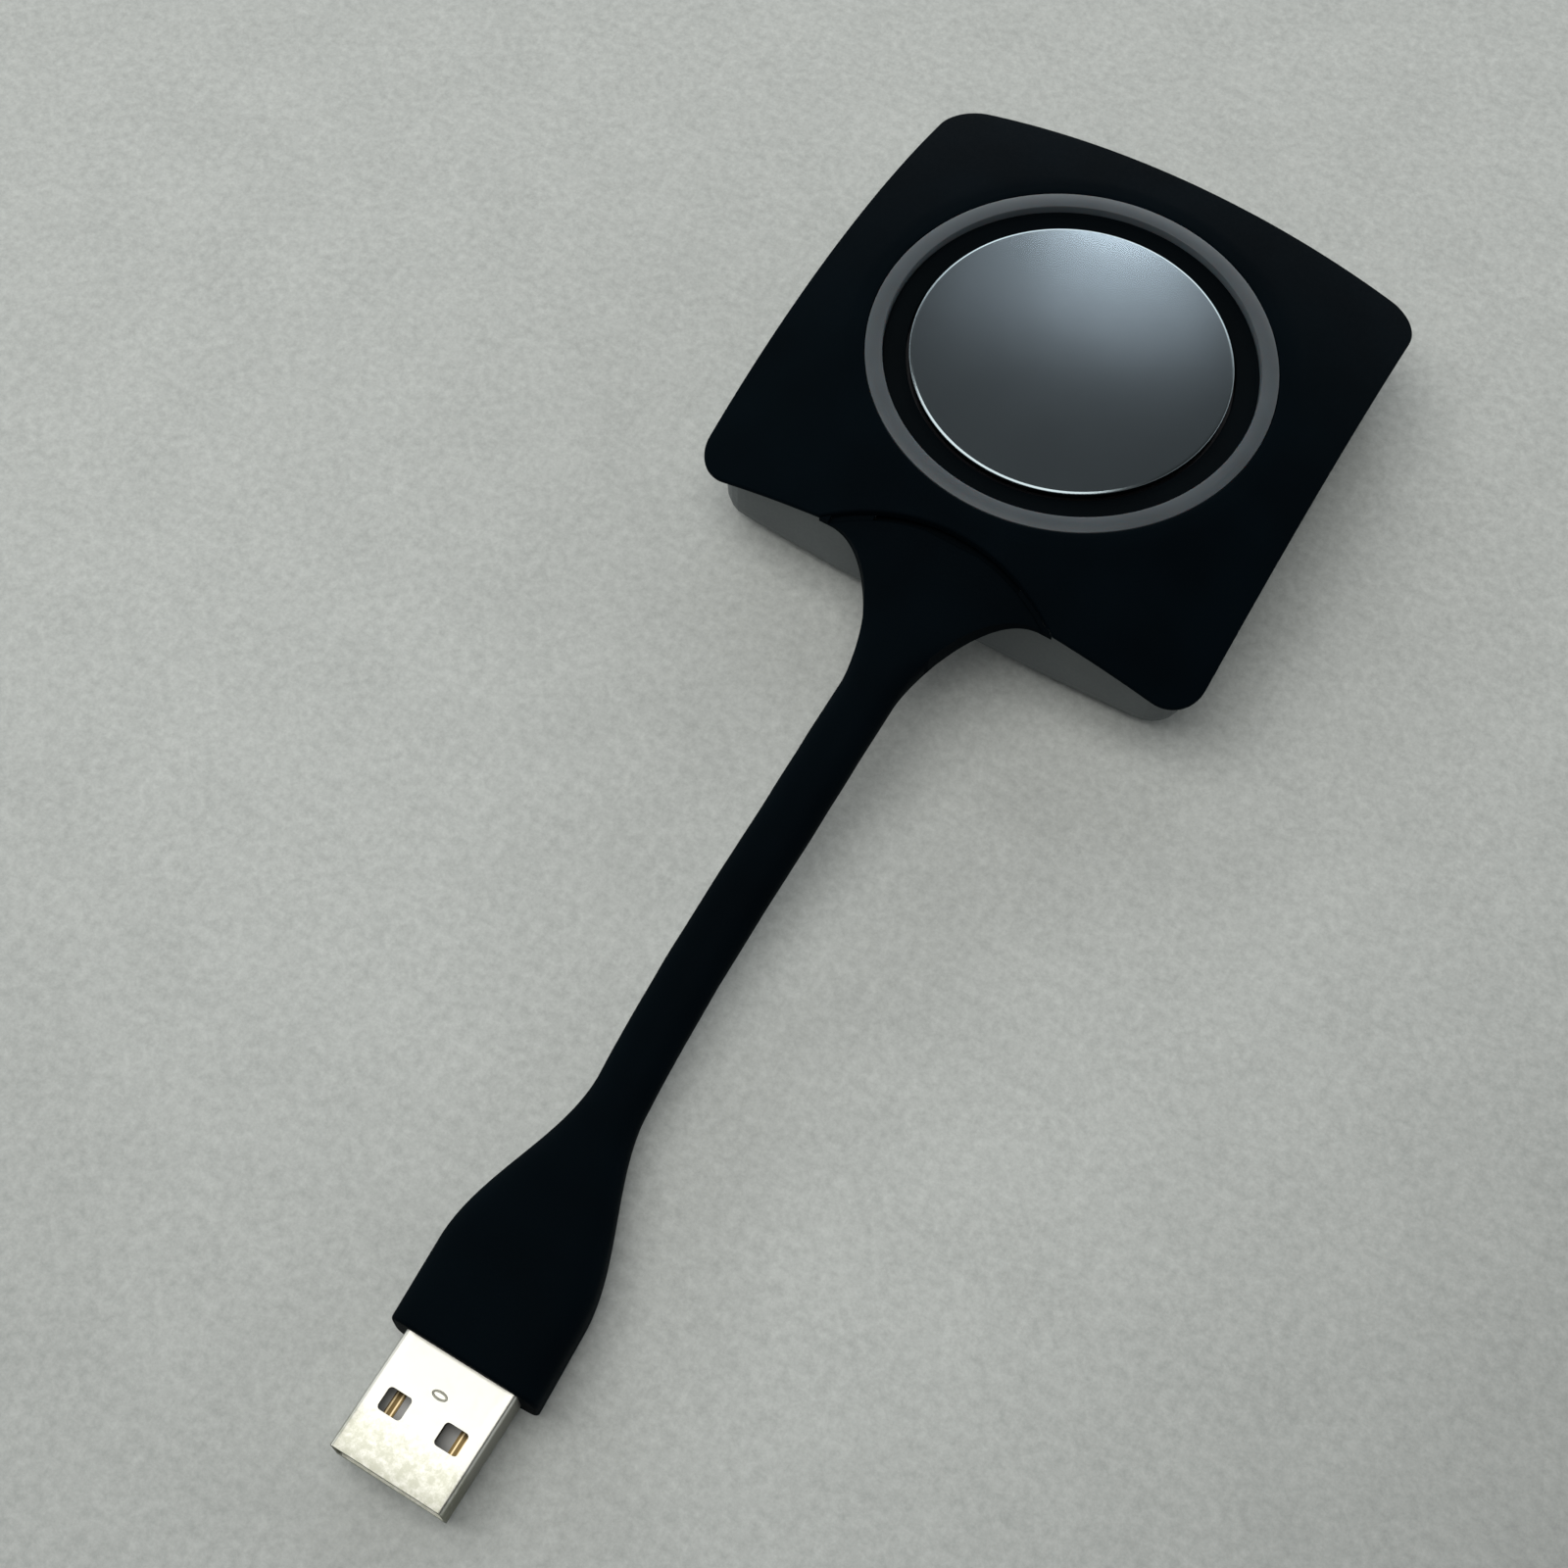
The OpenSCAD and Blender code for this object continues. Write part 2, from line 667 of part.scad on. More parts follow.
// Ring of points round one upright section of the moulding: middle, half sizes, squareness,
// and how much the top falls away sideways, as one over twice its radius
function power(v, e) = sign(v) * pow(abs(v), e);
function section(at, half_w, half_t, square, fall, sides) = [
    for (i = [0:sides - 1]) let (a = 360 * (i + 0.5) / sides, u = power(cos(a), 2 / square),
        drop = fall * pow(half_w * u, 2) / 2)
        [at[0] + half_w * u, at[1], at[2] - drop + (half_t - drop) * power(sin(a), 2 / square)]
];
function mix(a, b, t) = a + (b - a) * t;
function smooth(t) = t * t * (3 - 2 * t);

// The collar's section at share t of its free length; below zero it lies inside the head
function collar_section(t) = let (
    y = mix(collar_tip_y, cable_start[1], t),
    s = max(t, 0),
    flare = collar_flare * pow(1 - s, 2),
    top = t < 0 ? dome_z(-y) - collar_recess
        : mix(collar_top_z, cable_start[2] + cable_t / 2,
            t + collar_top_share * t * (1 - t) * (1 - 2 * t)),
    bottom = mix(shelf_z + rest_gap, cable_start[2] - cable_t / 2,
        s + collar_under_share * s * (1 - s))
) section([cable_start[0] * s, y, (top + bottom) / 2], cable_w / 2 + flare, (top - bottom) / 2,
    mix(collar_square, cable_square, s), pow(1 - s, 2) / (2 * dome_r), MOULD_SIDES);

module cable_collar() {
    back = (collar_reach + tongue_reach + over) / (cable_start[1] - collar_tip_y);
    color([0.035, 0.035, 0.04]) intersection() {
        skin([for (i = [0:COLLAR_STEPS]) collar_section(mix(back, 1, i / COLLAR_STEPS))]);
        union() {
            collar_arc(-collar_gap, 0, dome_apex);
            collar_tongue();
        }
    }
}

// Lower step of the collar's end: it fills the gap and reaches under the cover behind the wall
module collar_tongue() {
    wall_y = shell_wall + 3 * slip - shell_half;
    intersection() {
        dome_ball(cover_wall + tongue_drop);
        union() {
            collar_arc(-slip, 0, dome_apex);
            intersection() {
                collar_arc(tongue_reach, 0, dome_apex);
                translate([-head_half, wall_y, 0]) cube([head_w, head_half, dome_apex]);
            }
        }
    }
}

module flat_cable() {
    color([0.035, 0.035, 0.04]) skin([for (p = CABLE_ROUTE)
        section(p, cable_w / 2, cable_t / 2, cable_square, 0, CABLE_SIDES)]);
}

// The boot's section at share t of its length: it swells like a bottle's shoulder
function boot_section(t) = let (
    s = smooth(min(t * boot_len / boot_swell_len, 1))
) section(
    [mix(cable_end[0], plug_x, t), cable_end[1] - boot_len * t, mix(cable_end[2], plug_z, s)],
    mix(cable_w, boot_w, s) / 2, mix(cable_t, boot_h, s) / 2, mix(cable_square, boot_square, s), 0,
    MOULD_SIDES
);

module plug_boot() {
    color([0.035, 0.035, 0.04]) difference() {
        skin([for (i = [0:BOOT_STEPS]) boot_section(i / BOOT_STEPS)]);
        plug_outline(plug_w, plug_h, plug_corner_r, -over, plug_in);
    }
}

// Rounded bar along the plug, from y0 to y1 measured inwards from the boot's face
module plug_outline(w, h, r, y0, y1) {
    translate([plug_x, boot_y + y1, plug_z]) rotate([90, 0, 0]) linear_extrude(y1 - y0) {
        square([w, h - 2 * r], center = true);
        square([w - 2 * r, h], center = true);
        for (x = [-1, 1], y = [-1, 1]) translate([x * (w / 2 - r), y * (h / 2 - r)]) circle(r = r);
    }
}

module usb_shell() {
    color([0.8, 0.8, 0.78]) difference() {
        plug_outline(plug_w, plug_h, plug_corner_r, -plug_out, plug_in);
        plug_outline(plug_w - 2 * plug_wall, plug_h - 2 * plug_wall, plug_corner_r - plug_wall / 2,
            -plug_out - over, plug_in + over);
        for (share = window_shares) translate([plug_x + share * plug_w - window_size[0] / 2,
            boot_y - plug_out + window_at - window_size[1] / 2, 0])
            cube([window_size[0], window_size[1], boot_h]);
    }
}

module usb_tongue() {
    color([0.85, 0.85, 0.83]) translate([plug_x - plug_w / 2 + plug_wall + plug_corner_r,
        boot_y - plug_out + tongue_back, plug_z - plug_h / 2 + plug_wall])
        cube([plug_w - 2 * plug_wall - 2 * plug_corner_r, plug_out + plug_in - tongue_back, tongue_t]);
}

module usb_contacts() {
    color([0.8, 0.62, 0.25]) for (share = contact_shares)
        translate([plug_x + share * plug_w - contact_w / 2, boot_y - plug_out + contact_back,
            plug_z - plug_h / 2 + plug_wall + tongue_t])
            cube([contact_w, contact_len, contact_t]);
}

top_cover();
light_ring();
inner_bezel();
button_cap();
button_carrier();
switch_body();
switch_plunger();
bottom_shell();
main_board();
shield_can();
processor_chip();
memory_chip();
crystal();
power_inductor();
board_capacitors();
antenna_left();
antenna_right();
status_leds();
board_connector();
cable_wires();
board_screws();
housing_screws();
rubber_feet();
cable_collar();
flat_cable();
plug_boot();
usb_shell();
usb_tongue();
usb_contacts();
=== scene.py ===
import json
import math

import bmesh
import bpy
import numpy as np
from mathutils import Matrix, Vector


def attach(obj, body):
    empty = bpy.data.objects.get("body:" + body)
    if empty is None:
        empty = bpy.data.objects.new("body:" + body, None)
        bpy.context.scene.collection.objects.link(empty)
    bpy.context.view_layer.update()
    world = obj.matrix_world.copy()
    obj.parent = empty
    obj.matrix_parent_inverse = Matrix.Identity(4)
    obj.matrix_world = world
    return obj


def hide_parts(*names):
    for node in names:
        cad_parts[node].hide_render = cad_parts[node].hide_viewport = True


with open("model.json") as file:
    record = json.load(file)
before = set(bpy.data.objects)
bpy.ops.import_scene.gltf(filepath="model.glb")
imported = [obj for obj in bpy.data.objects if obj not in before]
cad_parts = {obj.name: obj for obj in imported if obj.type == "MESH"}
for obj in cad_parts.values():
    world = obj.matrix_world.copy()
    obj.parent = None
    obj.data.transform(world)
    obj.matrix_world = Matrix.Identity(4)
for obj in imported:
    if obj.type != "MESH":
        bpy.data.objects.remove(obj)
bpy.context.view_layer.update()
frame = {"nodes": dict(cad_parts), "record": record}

MM = 0.001
scene = bpy.context.scene

# Head and cover, in mm, as in the part's source
HEAD_HALF = 29.65
HEAD_CORNER = 4.2
DOME_R = 93.0
EDGE_Z = 14.1
COVER_WALL = 1.0
COVER_EDGE_T = 0.5
COVER_STEP_W = 0.6

# Light ring, bezel and button, in mm, as in the part's source
RING_R = 22.1
RING_IN = 20.2
RING_RECESS = 0.3
LAND_R = 24.1
RING_BOTTOM = 9.0
RING_FOOT_R = 23.2
RING_FOOT_TOP = 10.0
BEZEL_RECESS = 0.8
BEZEL_T = 1.0
BEZEL_OUT = 20.1
BEZEL_SKIRT = 18.9
CAP_R = 17.35
CAP_T = 0.9
CAP_CROWN = 0.4
CAP_DROP = 0.1
CAP_GAP = 0.3
BOARD_TOP = 7.5
FOOT_AT = 21.5
FOOT_R = 3.1
FOOT_TOP = 1.1

# The cover's arch and the collar in it, in mm, as in the part's source
ARCH_R = 24.4
ARCH_Y = -49.8
ARCH_GAP = 0.5
TIP_Y = -29.4375
COLLAR_RECESS = 0.8
COLLAR_T = 1.4
COLLAR_FLARE = 8.86
TONGUE_REACH = 0.6
TONGUE_DROP = 0.6
REST_GAP = 0.03

# Strap, boot and plug, in mm, as in the part's source
CABLE_W = 5.9
CABLE_T = 4.0
CABLE_SQUARE = 2.8
COLLAR_SQUARE = 5.0
BOOT_SQUARE = 4.5
BOOT_W = 15.9
BOOT_H = 7.2
BOOT_LEN = 29.5
SWELL_LEN = 21.0
PLUG_X = 2.3
PLUG_W = 12.0
PLUG_H = 4.5
PLUG_WALL = 0.3
PLUG_OUT = 12.0
PLUG_IN = 6.7
ROUTE = [(0.3, -44, 9.4), (0.25, -47, 9), (0.2, -50, 8.6), (0.2, -53, 8.2), (0.15, -56, 7.75),
         (0.15, -59, 7.3), (0.1, -62, 6.9), (0.05, -65, 6.5), (0, -68, 6.1), (0, -71, 5.7),
         (0, -74, 5.3), (0, -77, 4.95), (0.1, -80, 4.6), (0.2, -83, 4.3), (0.35, -86, 4.05),
         (0.5, -88.4, 3.87), (0.7, -90.8, 3.72)]
CABLE_START = ROUTE[0]
CABLE_END = ROUTE[-1]
BOOT_Y = CABLE_END[1] - BOOT_LEN
PLUG_Z = BOOT_H / 2
PLUG_TIP = BOOT_Y - PLUG_OUT

# Place of a rounded edge's middle point, as a share of the edge's width
BEVEL_SHARE = 0.3
# Radius of the flat end that closes a turned piece at its axis
AXIS_R = 0.02


def sag(r):
    """How far the dome has fallen from its apex at radius r."""
    return DOME_R - np.sqrt(DOME_R * DOME_R - r * r)


APEX = EDGE_Z + sag(HEAD_HALF)
DOME_CENTRE = APEX - DOME_R


def dome_z(r):
    return APEX - sag(r)


def under_z(r, depth):
    """Height of the sphere that lies depth below the dome."""
    return DOME_CENTRE + np.sqrt((DOME_R - depth) ** 2 - r * r)


RING_Z = dome_z(RING_R) - RING_RECESS
BEZEL_Z = RING_Z - BEZEL_RECESS
CAP_EDGE_Z = RING_Z - CAP_DROP

# Camera at the photograph's viewpoint, in metres
CAM_AT = (0.04722, -0.14768, 0.21872)
CAM_RIGHT = (0.85918, 0.51124, 0.02101)
CAM_UP = (-0.46663, 0.76605, 0.44206)
CAM_BACK = (0.20991, -0.38961, 0.89674)
CAM_SENSOR = 36.0
CAM_LENS = 53.72
CAM_NEAR = 0.01
CAM_FAR = 20.0


def make_camera():
    data = bpy.data.cameras.new("camera")
    data.sensor_width = CAM_SENSOR
    data.lens = CAM_LENS
    data.clip_start = CAM_NEAR
    data.clip_end = CAM_FAR
    obj = bpy.data.objects.new("camera", data)
    scene.collection.objects.link(obj)
    turn = Matrix((CAM_RIGHT, CAM_UP, CAM_BACK)).transposed().to_4x4()
    obj.matrix_world = Matrix.Translation(CAM_AT) @ turn
    return obj


scene.camera = make_camera()


# Mesh helpers
def smooth_shading(mesh, sharp):
    """Smooth faces, but with edges steeper than the angle sharp (degrees) left sharp."""
    mesh.polygons.foreach_set("use_smooth", [True] * len(mesh.polygons))
    mesh.set_sharp_from_angle(angle=math.radians(sharp))


def make_object(name, points, faces, material, sharp=32):
    """A mesh object from points in mm."""
    mesh = bpy.data.meshes.new(name)
    mesh.from_pydata([tuple(float(c) * MM for c in p) for p in points], [], faces)
    mesh.validate()
    bm = bmesh.new()
    bm.from_mesh(mesh)
    bmesh.ops.recalc_face_normals(bm, faces=bm.faces)
    bm.to_mesh(mesh)
    bm.free()
    smooth_shading(mesh, sharp)
    mesh.materials.append(material)
    obj = bpy.data.objects.new(name, mesh)
    scene.collection.objects.link(obj)
    return obj


def strips(rings, wrap=False, first=None, last=None):
    """Points and faces through rings of equal length. wrap joins the last ring to the first.
    first and last are "cap" for a flat end or "pair" for an end that joins mirrored points."""
    n = len(rings[0])
    points = np.concatenate([np.asarray(r, float) for r in rings])
    faces = []
    pairs = [(k, k + 1) for k in range(len(rings) - 1)]
    if wrap:
        pairs.append((len(rings) - 1, 0))
    for a, b in pairs:
        for i in range(n):
            j = (i + 1) % n
            faces.append((a * n + i, a * n + j, b * n + j, b * n + i))
    for style, base in ((first, 0), (last, (len(rings) - 1) * n)):
        if style == "cap":
            faces.append(tuple(base + i for i in range(n)))
        elif style == "pair":
            for i in range(n // 2 - 1):
                faces.append((base + i, base + i + 1, base + n - 2 - i, base + n - 1 - i))
    return points, faces


def lathe(profile, steps=256, at=(0.0, 0.0)):
    """Rings of a profile of (radius, height) turned about an upright axis."""
    angles = np.arange(steps) * 2 * np.pi / steps
    return [np.column_stack([at[0] + r * np.cos(angles), at[1] + r * np.sin(angles),
                             np.full(steps, z)]) for r, z in profile]


def arc_points(centre, r, a0, a1, steps):
    """Points of (radius, height) on an arc, angles in degrees."""
    return [(centre[0] + r * math.cos(math.radians(a)), centre[1] + r * math.sin(math.radians(a)))
            for a in np.linspace(a0, a1, steps + 1)]


def mix(a, b, t):
    return a + (b - a) * t


def smooth(t):
    return t * t * (3 - 2 * t)


# Materials
class Shader:
    """A Principled material with procedural variation built step by step."""

    def __init__(self, name, color, roughness, metallic=0.0, specular=0.5):
        self.material = bpy.data.materials.new(name)
        self.material.use_nodes = True
        self.tree = self.material.node_tree
        self.bsdf = self.tree.nodes["Principled BSDF"]
        self.set("Base Color", (*color, 1))
        self.set("Roughness", roughness)
        self.set("Metallic", metallic)
        self.set("Specular IOR Level", specular)
        self.coords = self.tree.nodes.new("ShaderNodeTexCoord")
        self.height = None

    def set(self, name, value):
        """A value that is the same all over the surface."""
        self.bsdf.inputs[name].default_value = value

    def node(self, kind, **values):
        made = self.tree.nodes.new(kind)
        for key, value in values.items():
            setattr(made, key, value)
        return made

    def link(self, a, b):
        self.tree.links.new(a, b)

    def noise(self, size_mm, detail=2.0, rough=0.5, seed=0.0):
        """Noise whose features are about size_mm wide."""
        place = self.node("ShaderNodeMapping")
        place.inputs["Location"].default_value = (seed, seed * 0.7, seed * 0.3)
        self.link(self.coords.outputs["Object"], place.inputs["Vector"])
        tex = self.node("ShaderNodeTexNoise")
        tex.inputs["Scale"].default_value = 1 / MM / size_mm
        tex.inputs["Detail"].default_value = detail
        tex.inputs["Roughness"].default_value = rough
        self.link(place.outputs["Vector"], tex.inputs["Vector"])
        return tex.outputs["Fac"]

    def ramp(self, source, low, high, p0=0.35, p1=0.65):
        """Source mapped so that p0 gives low and p1 gives high, as a colour or a grey."""
        ramp = self.node("ShaderNodeValToRGB")
        for end, value, at in zip(ramp.color_ramp.elements, (low, high), (p0, p1)):
            end.position = at
            end.color = (*(value if hasattr(value, "__len__") else (value,) * 3), 1)
        self.link(source, ramp.inputs["Fac"])
        return ramp.outputs["Color"]

    def color(self, source, low, high, p0=0.35, p1=0.65):
        self.link(self.ramp(source, low, high, p0, p1), self.bsdf.inputs["Base Color"])

    def rough(self, source, low, high, p0=0.35, p1=0.65):
        self.link(self.ramp(source, low, high, p0, p1), self.bsdf.inputs["Roughness"])

    def bump(self, source, depth_mm, strength=1.0):
        bump = self.node("ShaderNodeBump")
        bump.inputs["Strength"].default_value = strength
        bump.inputs["Distance"].default_value = depth_mm * MM
        self.link(source, bump.inputs["Height"])
        if self.height is not None:
            self.link(self.height, bump.inputs["Normal"])
        self.height = bump.outputs["Normal"]
        self.link(self.height, self.bsdf.inputs["Normal"])


def fade(s, start, degrees, length):
    """0 before the start (m), rising to 1 over the length in the direction of the angle."""
    place = s.node("ShaderNodeMapping", vector_type="TEXTURE")
    place.inputs["Location"].default_value = (start[0], start[1], 0.0)
    place.inputs["Rotation"].default_value = (0.0, 0.0, math.radians(degrees))
    place.inputs["Scale"].default_value = (length, length, length)
    s.link(s.coords.outputs["Object"], place.inputs["Vector"])
    slope = s.node("ShaderNodeTexGradient")
    s.link(place.outputs["Vector"], slope.inputs["Vector"])
    return slope.outputs["Fac"]


def product(s, a, b):
    both = s.node("ShaderNodeMath", operation="MULTIPLY")
    s.link(a, both.inputs[0])
    s.link(b, both.inputs[1])
    return both.outputs[0]


def moulded(name, color, roughness, grain_mm=0.35, depth_mm=0.006, specular=0.3, vary=0.12):
    """Moulded plastic: a fine spark-eroded grain and a slight change of tone."""
    spread = 0.06
    s = Shader(name, color, roughness, specular=specular)
    fine = s.noise(grain_mm, detail=3.0, rough=0.6)
    wide = s.noise(9.0, detail=2.0, seed=3.1)
    s.color(wide, tuple(c * (1 - vary) for c in color), tuple(c * (1 + vary) for c in color))
    s.rough(fine, roughness - spread, roughness + spread)
    s.bump(fine, depth_mm)
    return s


def board_material():
    """Solder mask with a faint pattern of tracks."""
    s = moulded("board_green", (0.01, 0.09, 0.04), 0.35, 0.6, 0.004, 0.5)
    tracks = s.node("ShaderNodeTexBrick")
    tracks.inputs["Scale"].default_value = 420.0
    tracks.inputs["Color1"].default_value = (0.008, 0.075, 0.034, 1)
    tracks.inputs["Color2"].default_value = (0.012, 0.1, 0.045, 1)
    tracks.inputs["Mortar"].default_value = (0.02, 0.16, 0.07, 1)
    s.link(s.coords.outputs["Object"], tracks.inputs["Vector"])
    s.link(tracks.outputs["Color"], s.bsdf.inputs["Base Color"])
    return s


def metal(name, color, roughness, grain_mm=0.25, depth_mm=0.002, vary=0.05, spread=0.05):
    s = Shader(name, color, roughness, metallic=1.0)
    fine = s.noise(grain_mm, detail=4.0, rough=0.65)
    wide = s.noise(5.0, detail=3.0, seed=1.7)
    s.color(wide, tuple(c * (1 - vary) for c in color), tuple(c * (1 + vary) for c in color))
    s.rough(fine, roughness - spread, roughness + spread)
    if depth_mm:
        s.bump(fine, depth_mm)
    return s


def contact_material():
    """Gold flash, dull, with narrow bright lines that repeat across the contacts."""
    dull, bright = (0.1, 0.07, 0.03), (0.5, 0.4, 0.24)
    step = 0.55
    line_x = PLUG_X + 1.0
    s = Shader("contact_gold", dull, 0.3, metallic=1.0)
    wave = s.node("ShaderNodeTexWave", wave_type="BANDS", bands_direction="X")
    # the wave repeats every pi / 10 of its scaled coordinate, and peaks at line_x
    wave.inputs["Scale"].default_value = math.pi / 10 / (step * MM)
    wave.inputs["Phase Offset"].default_value = math.pi / 2 - 2 * math.pi * line_x / step
    s.link(s.coords.outputs["Object"], wave.inputs["Vector"])
    s.color(wave.outputs["Fac"], dull, bright, 0.7, 0.95)
    return s


def plug_material():
    """Bright nickel plate, worn in patches towards its tip as after many sockets."""
    bright, worn = (0.57, 0.57, 0.525), (0.43, 0.435, 0.365)
    wear_from, wear_over = 3.5, 5.5
    s = Shader("plug_metal", bright, 0.36, metallic=1.0)
    fine = s.noise(0.3, detail=4.0, rough=0.7)
    blot = s.noise(0.75, detail=6.0, rough=0.8, seed=4.0)
    wear = product(s, blot, fade(s, (PLUG_X * MM, (BOOT_Y - wear_from) * MM), -90, wear_over * MM))
    s.color(wear, bright, worn, 0.36, 0.56)
    s.rough(blot, 0.36, 0.42, 0.5, 0.75)
    s.bump(fine, 0.003)
    s.set("Specular Tint", (0.3, 0.3, 0.29, 1))
    return s


def ring_material():
    """Frosted diffuser: light goes a little way in and comes back grey and slightly blue."""
    s = Shader("ring_diffuser", (0.063, 0.077, 0.0855), 0.42, specular=0.35)
    fine = s.noise(0.3, detail=2.0)
    wide = s.noise(6.0, detail=2.0, seed=2.2)
    s.color(wide, (0.055, 0.067, 0.0755), (0.064, 0.077, 0.087))
    s.rough(fine, 0.38, 0.48)
    s.bump(fine, 0.003)
    s.set("Subsurface Weight", 0.25)
    s.set("Subsurface Scale", MM)
    return s


# Colour and roughness, and where they differ from the usual: grain and its depth in mm,
# specular level and change of tone
MOULDED = {
    "cover_black": ((0.0012, 0.0031, 0.0047), 0.6, 0.3, 0.008, 0.009),
    "mould_rubber": ((0.0008, 0.0025, 0.0039), 0.62, 0.22, 0.006, 0.013),
    "bezel_black": ((0.0012, 0.0026, 0.0036), 0.5, 0.4, 0.004, 0.02),
    "shell_grey": ((0.102, 0.113, 0.114), 0.6, 0.35, 0.008, 0.3, 0.05),
    "carrier_plastic": ((0.03, 0.03, 0.034), 0.5),
    "switch_plastic": ((0.02, 0.02, 0.02), 0.45),
    "plunger_plastic": ((0.5, 0.48, 0.42), 0.4),
    "chip_black": ((0.02, 0.02, 0.022), 0.55, 0.15, 0.004),
    "inductor_grey": ((0.05, 0.05, 0.055), 0.7),
    "capacitor_tan": ((0.3, 0.2, 0.1), 0.5),
    "antenna_white": ((0.6, 0.6, 0.55), 0.4),
    "led_white": ((0.8, 0.8, 0.72), 0.3),
    "connector_ivory": ((0.65, 0.6, 0.48), 0.45),
    "wire_red": ((0.35, 0.02, 0.02), 0.4),
    "foot_rubber": ((0.018, 0.018, 0.019), 0.8, 0.25, 0.01, 0.2),
    "tongue_plastic": ((0.5, 0.5, 0.49), 0.45, 0.3, 0.004),
}
MATS = {slot: moulded(slot, *values) for slot, values in MOULDED.items()}
MATS["board_green"] = board_material()
MATS["can_metal"] = metal("can_metal", (0.6, 0.61, 0.63), 0.3)
MATS["screw_steel"] = metal("screw_steel", (0.5, 0.5, 0.52), 0.35)
MATS["button_metal"] = metal("button_metal", (0.256, 0.306, 0.328), 0.185, grain_mm=0.3,
                             depth_mm=0.0, vary=0.02, spread=0.003)
MATS["contact_gold"] = contact_material()
MATS["plug_metal"] = plug_material()
MATS["ring_diffuser"] = ring_material()


def mat(slot):
    return MATS[slot].material


# Cable moulding: collar with its tongue, strap and boot
SIDES = 96
# How much further the collar's tips reach than the solid's, and how sharply they do so
COLLAR_TIP = 0.85
TIP_POWER = 10
FLARE_POWER = 2
# Waves of the collar's top and bottom lines along it, as shares of their fall
TOP_SHARE = 0.4
BOTTOM_SHARE = 0.6
# The collar's half thickness is never less than this
COLLAR_LEAST = 0.05
# The tongue runs this far under the collar, and is never thinner than this
TONGUE_LAP = 1.2
TONGUE_LEAST = 0.27
# At the arch's ends the tongue comes this close to the cover, reaches this far above the cover's
# underside, and ends this far before the corner
TONGUE_FIT = 0.02
TONGUE_RISE = 0.12
TONGUE_END = 0.05
# The tongue changes there this far behind the cover's front edge
WALL_BACK = 2.7
# Rounding of the boot's end at the plug
BOOT_EDGE = 0.35
# The boot's mouth is this much wider than the plug all round
MOUTH = 0.08
PLUG_CORNER = 0.45
TINY = 1e-9


def section_angles():
    return (np.arange(SIDES) + 0.5) * 2 * np.pi / SIDES


def collar_law(y):
    """Middle, half width, top, bottom, squareness and sideways fall of the collar at y."""
    t = (TIP_Y - y) / (TIP_Y - CABLE_START[1])
    s = np.maximum(t, 0)
    top_z = dome_z(-TIP_Y) - COLLAR_RECESS
    top = np.where(t < 0, dome_z(np.abs(y)) - COLLAR_RECESS,
                   mix(top_z, CABLE_START[2] + CABLE_T / 2,
                       t + TOP_SHARE * t * (1 - t) * (1 - 2 * t)))
    bottom = mix(top_z - COLLAR_T + REST_GAP, CABLE_START[2] - CABLE_T / 2,
                 s + BOTTOM_SHARE * s * (1 - s))
    half = CABLE_W / 2 + COLLAR_FLARE * (1 - s) ** FLARE_POWER + COLLAR_TIP * (1 - s) ** TIP_POWER
    return (CABLE_START[0] * s, half, top, bottom,
            mix(COLLAR_SQUARE, CABLE_SQUARE, s), (1 - s) ** 2 / (2 * DOME_R))


def arch_y(x):
    """Line of the collar's end, across a gap from the cover's arch."""
    return ARCH_Y + np.sqrt((ARCH_R - ARCH_GAP) ** 2 - x * x)


def arch_x(y):
    """Half width of the cover's arch at y."""
    return math.sqrt(ARCH_R ** 2 - (y - ARCH_Y) ** 2)


def collar_rings(steps=56, edge=0.22, crowding=1.15):
    """Sections from the arch to the strap. They lie along the arch at first, and closer there."""
    corner = CABLE_W / 2 + COLLAR_FLARE + COLLAR_TIP
    y_corner = float(arch_y(corner))
    angle = section_angles()
    c, sn = np.cos(angle), np.sin(angle)
    rings = []
    rounding = [(edge * (1 - math.cos(a)), edge * (1 - math.sin(a)))
                for a in np.radians([0, 30, 60])]
    shares = [0.0] * len(rounding) + list(np.linspace(0, 1, steps) ** crowding)
    offsets = rounding + [(edge, 0.0)] * steps
    for tau, (back, cut_in) in zip(shares, offsets):
        flank = mix(y_corner, CABLE_START[1], tau)
        _, half_flank, _, _, square, _ = collar_law(np.float64(flank))
        u = np.sign(c) * np.abs(c) ** (2 / square)
        x = (half_flank - cut_in) * u
        y = mix(arch_y(np.clip(x, -corner, corner)), CABLE_START[1], tau) - back * (1 - tau)
        middle, half, top, bottom, square, fall = collar_law(y)
        v = (1 - np.minimum(np.abs(x / half), 1) ** square) ** (1 / square)
        drop = fall * x * x / 2
        half_t = np.maximum((top - bottom) / 2 - drop - cut_in, COLLAR_LEAST)
        z = (top + bottom) / 2 - drop + np.sign(sn) * half_t * v
        rings.append(np.column_stack([middle + x, y, z]))
    return rings


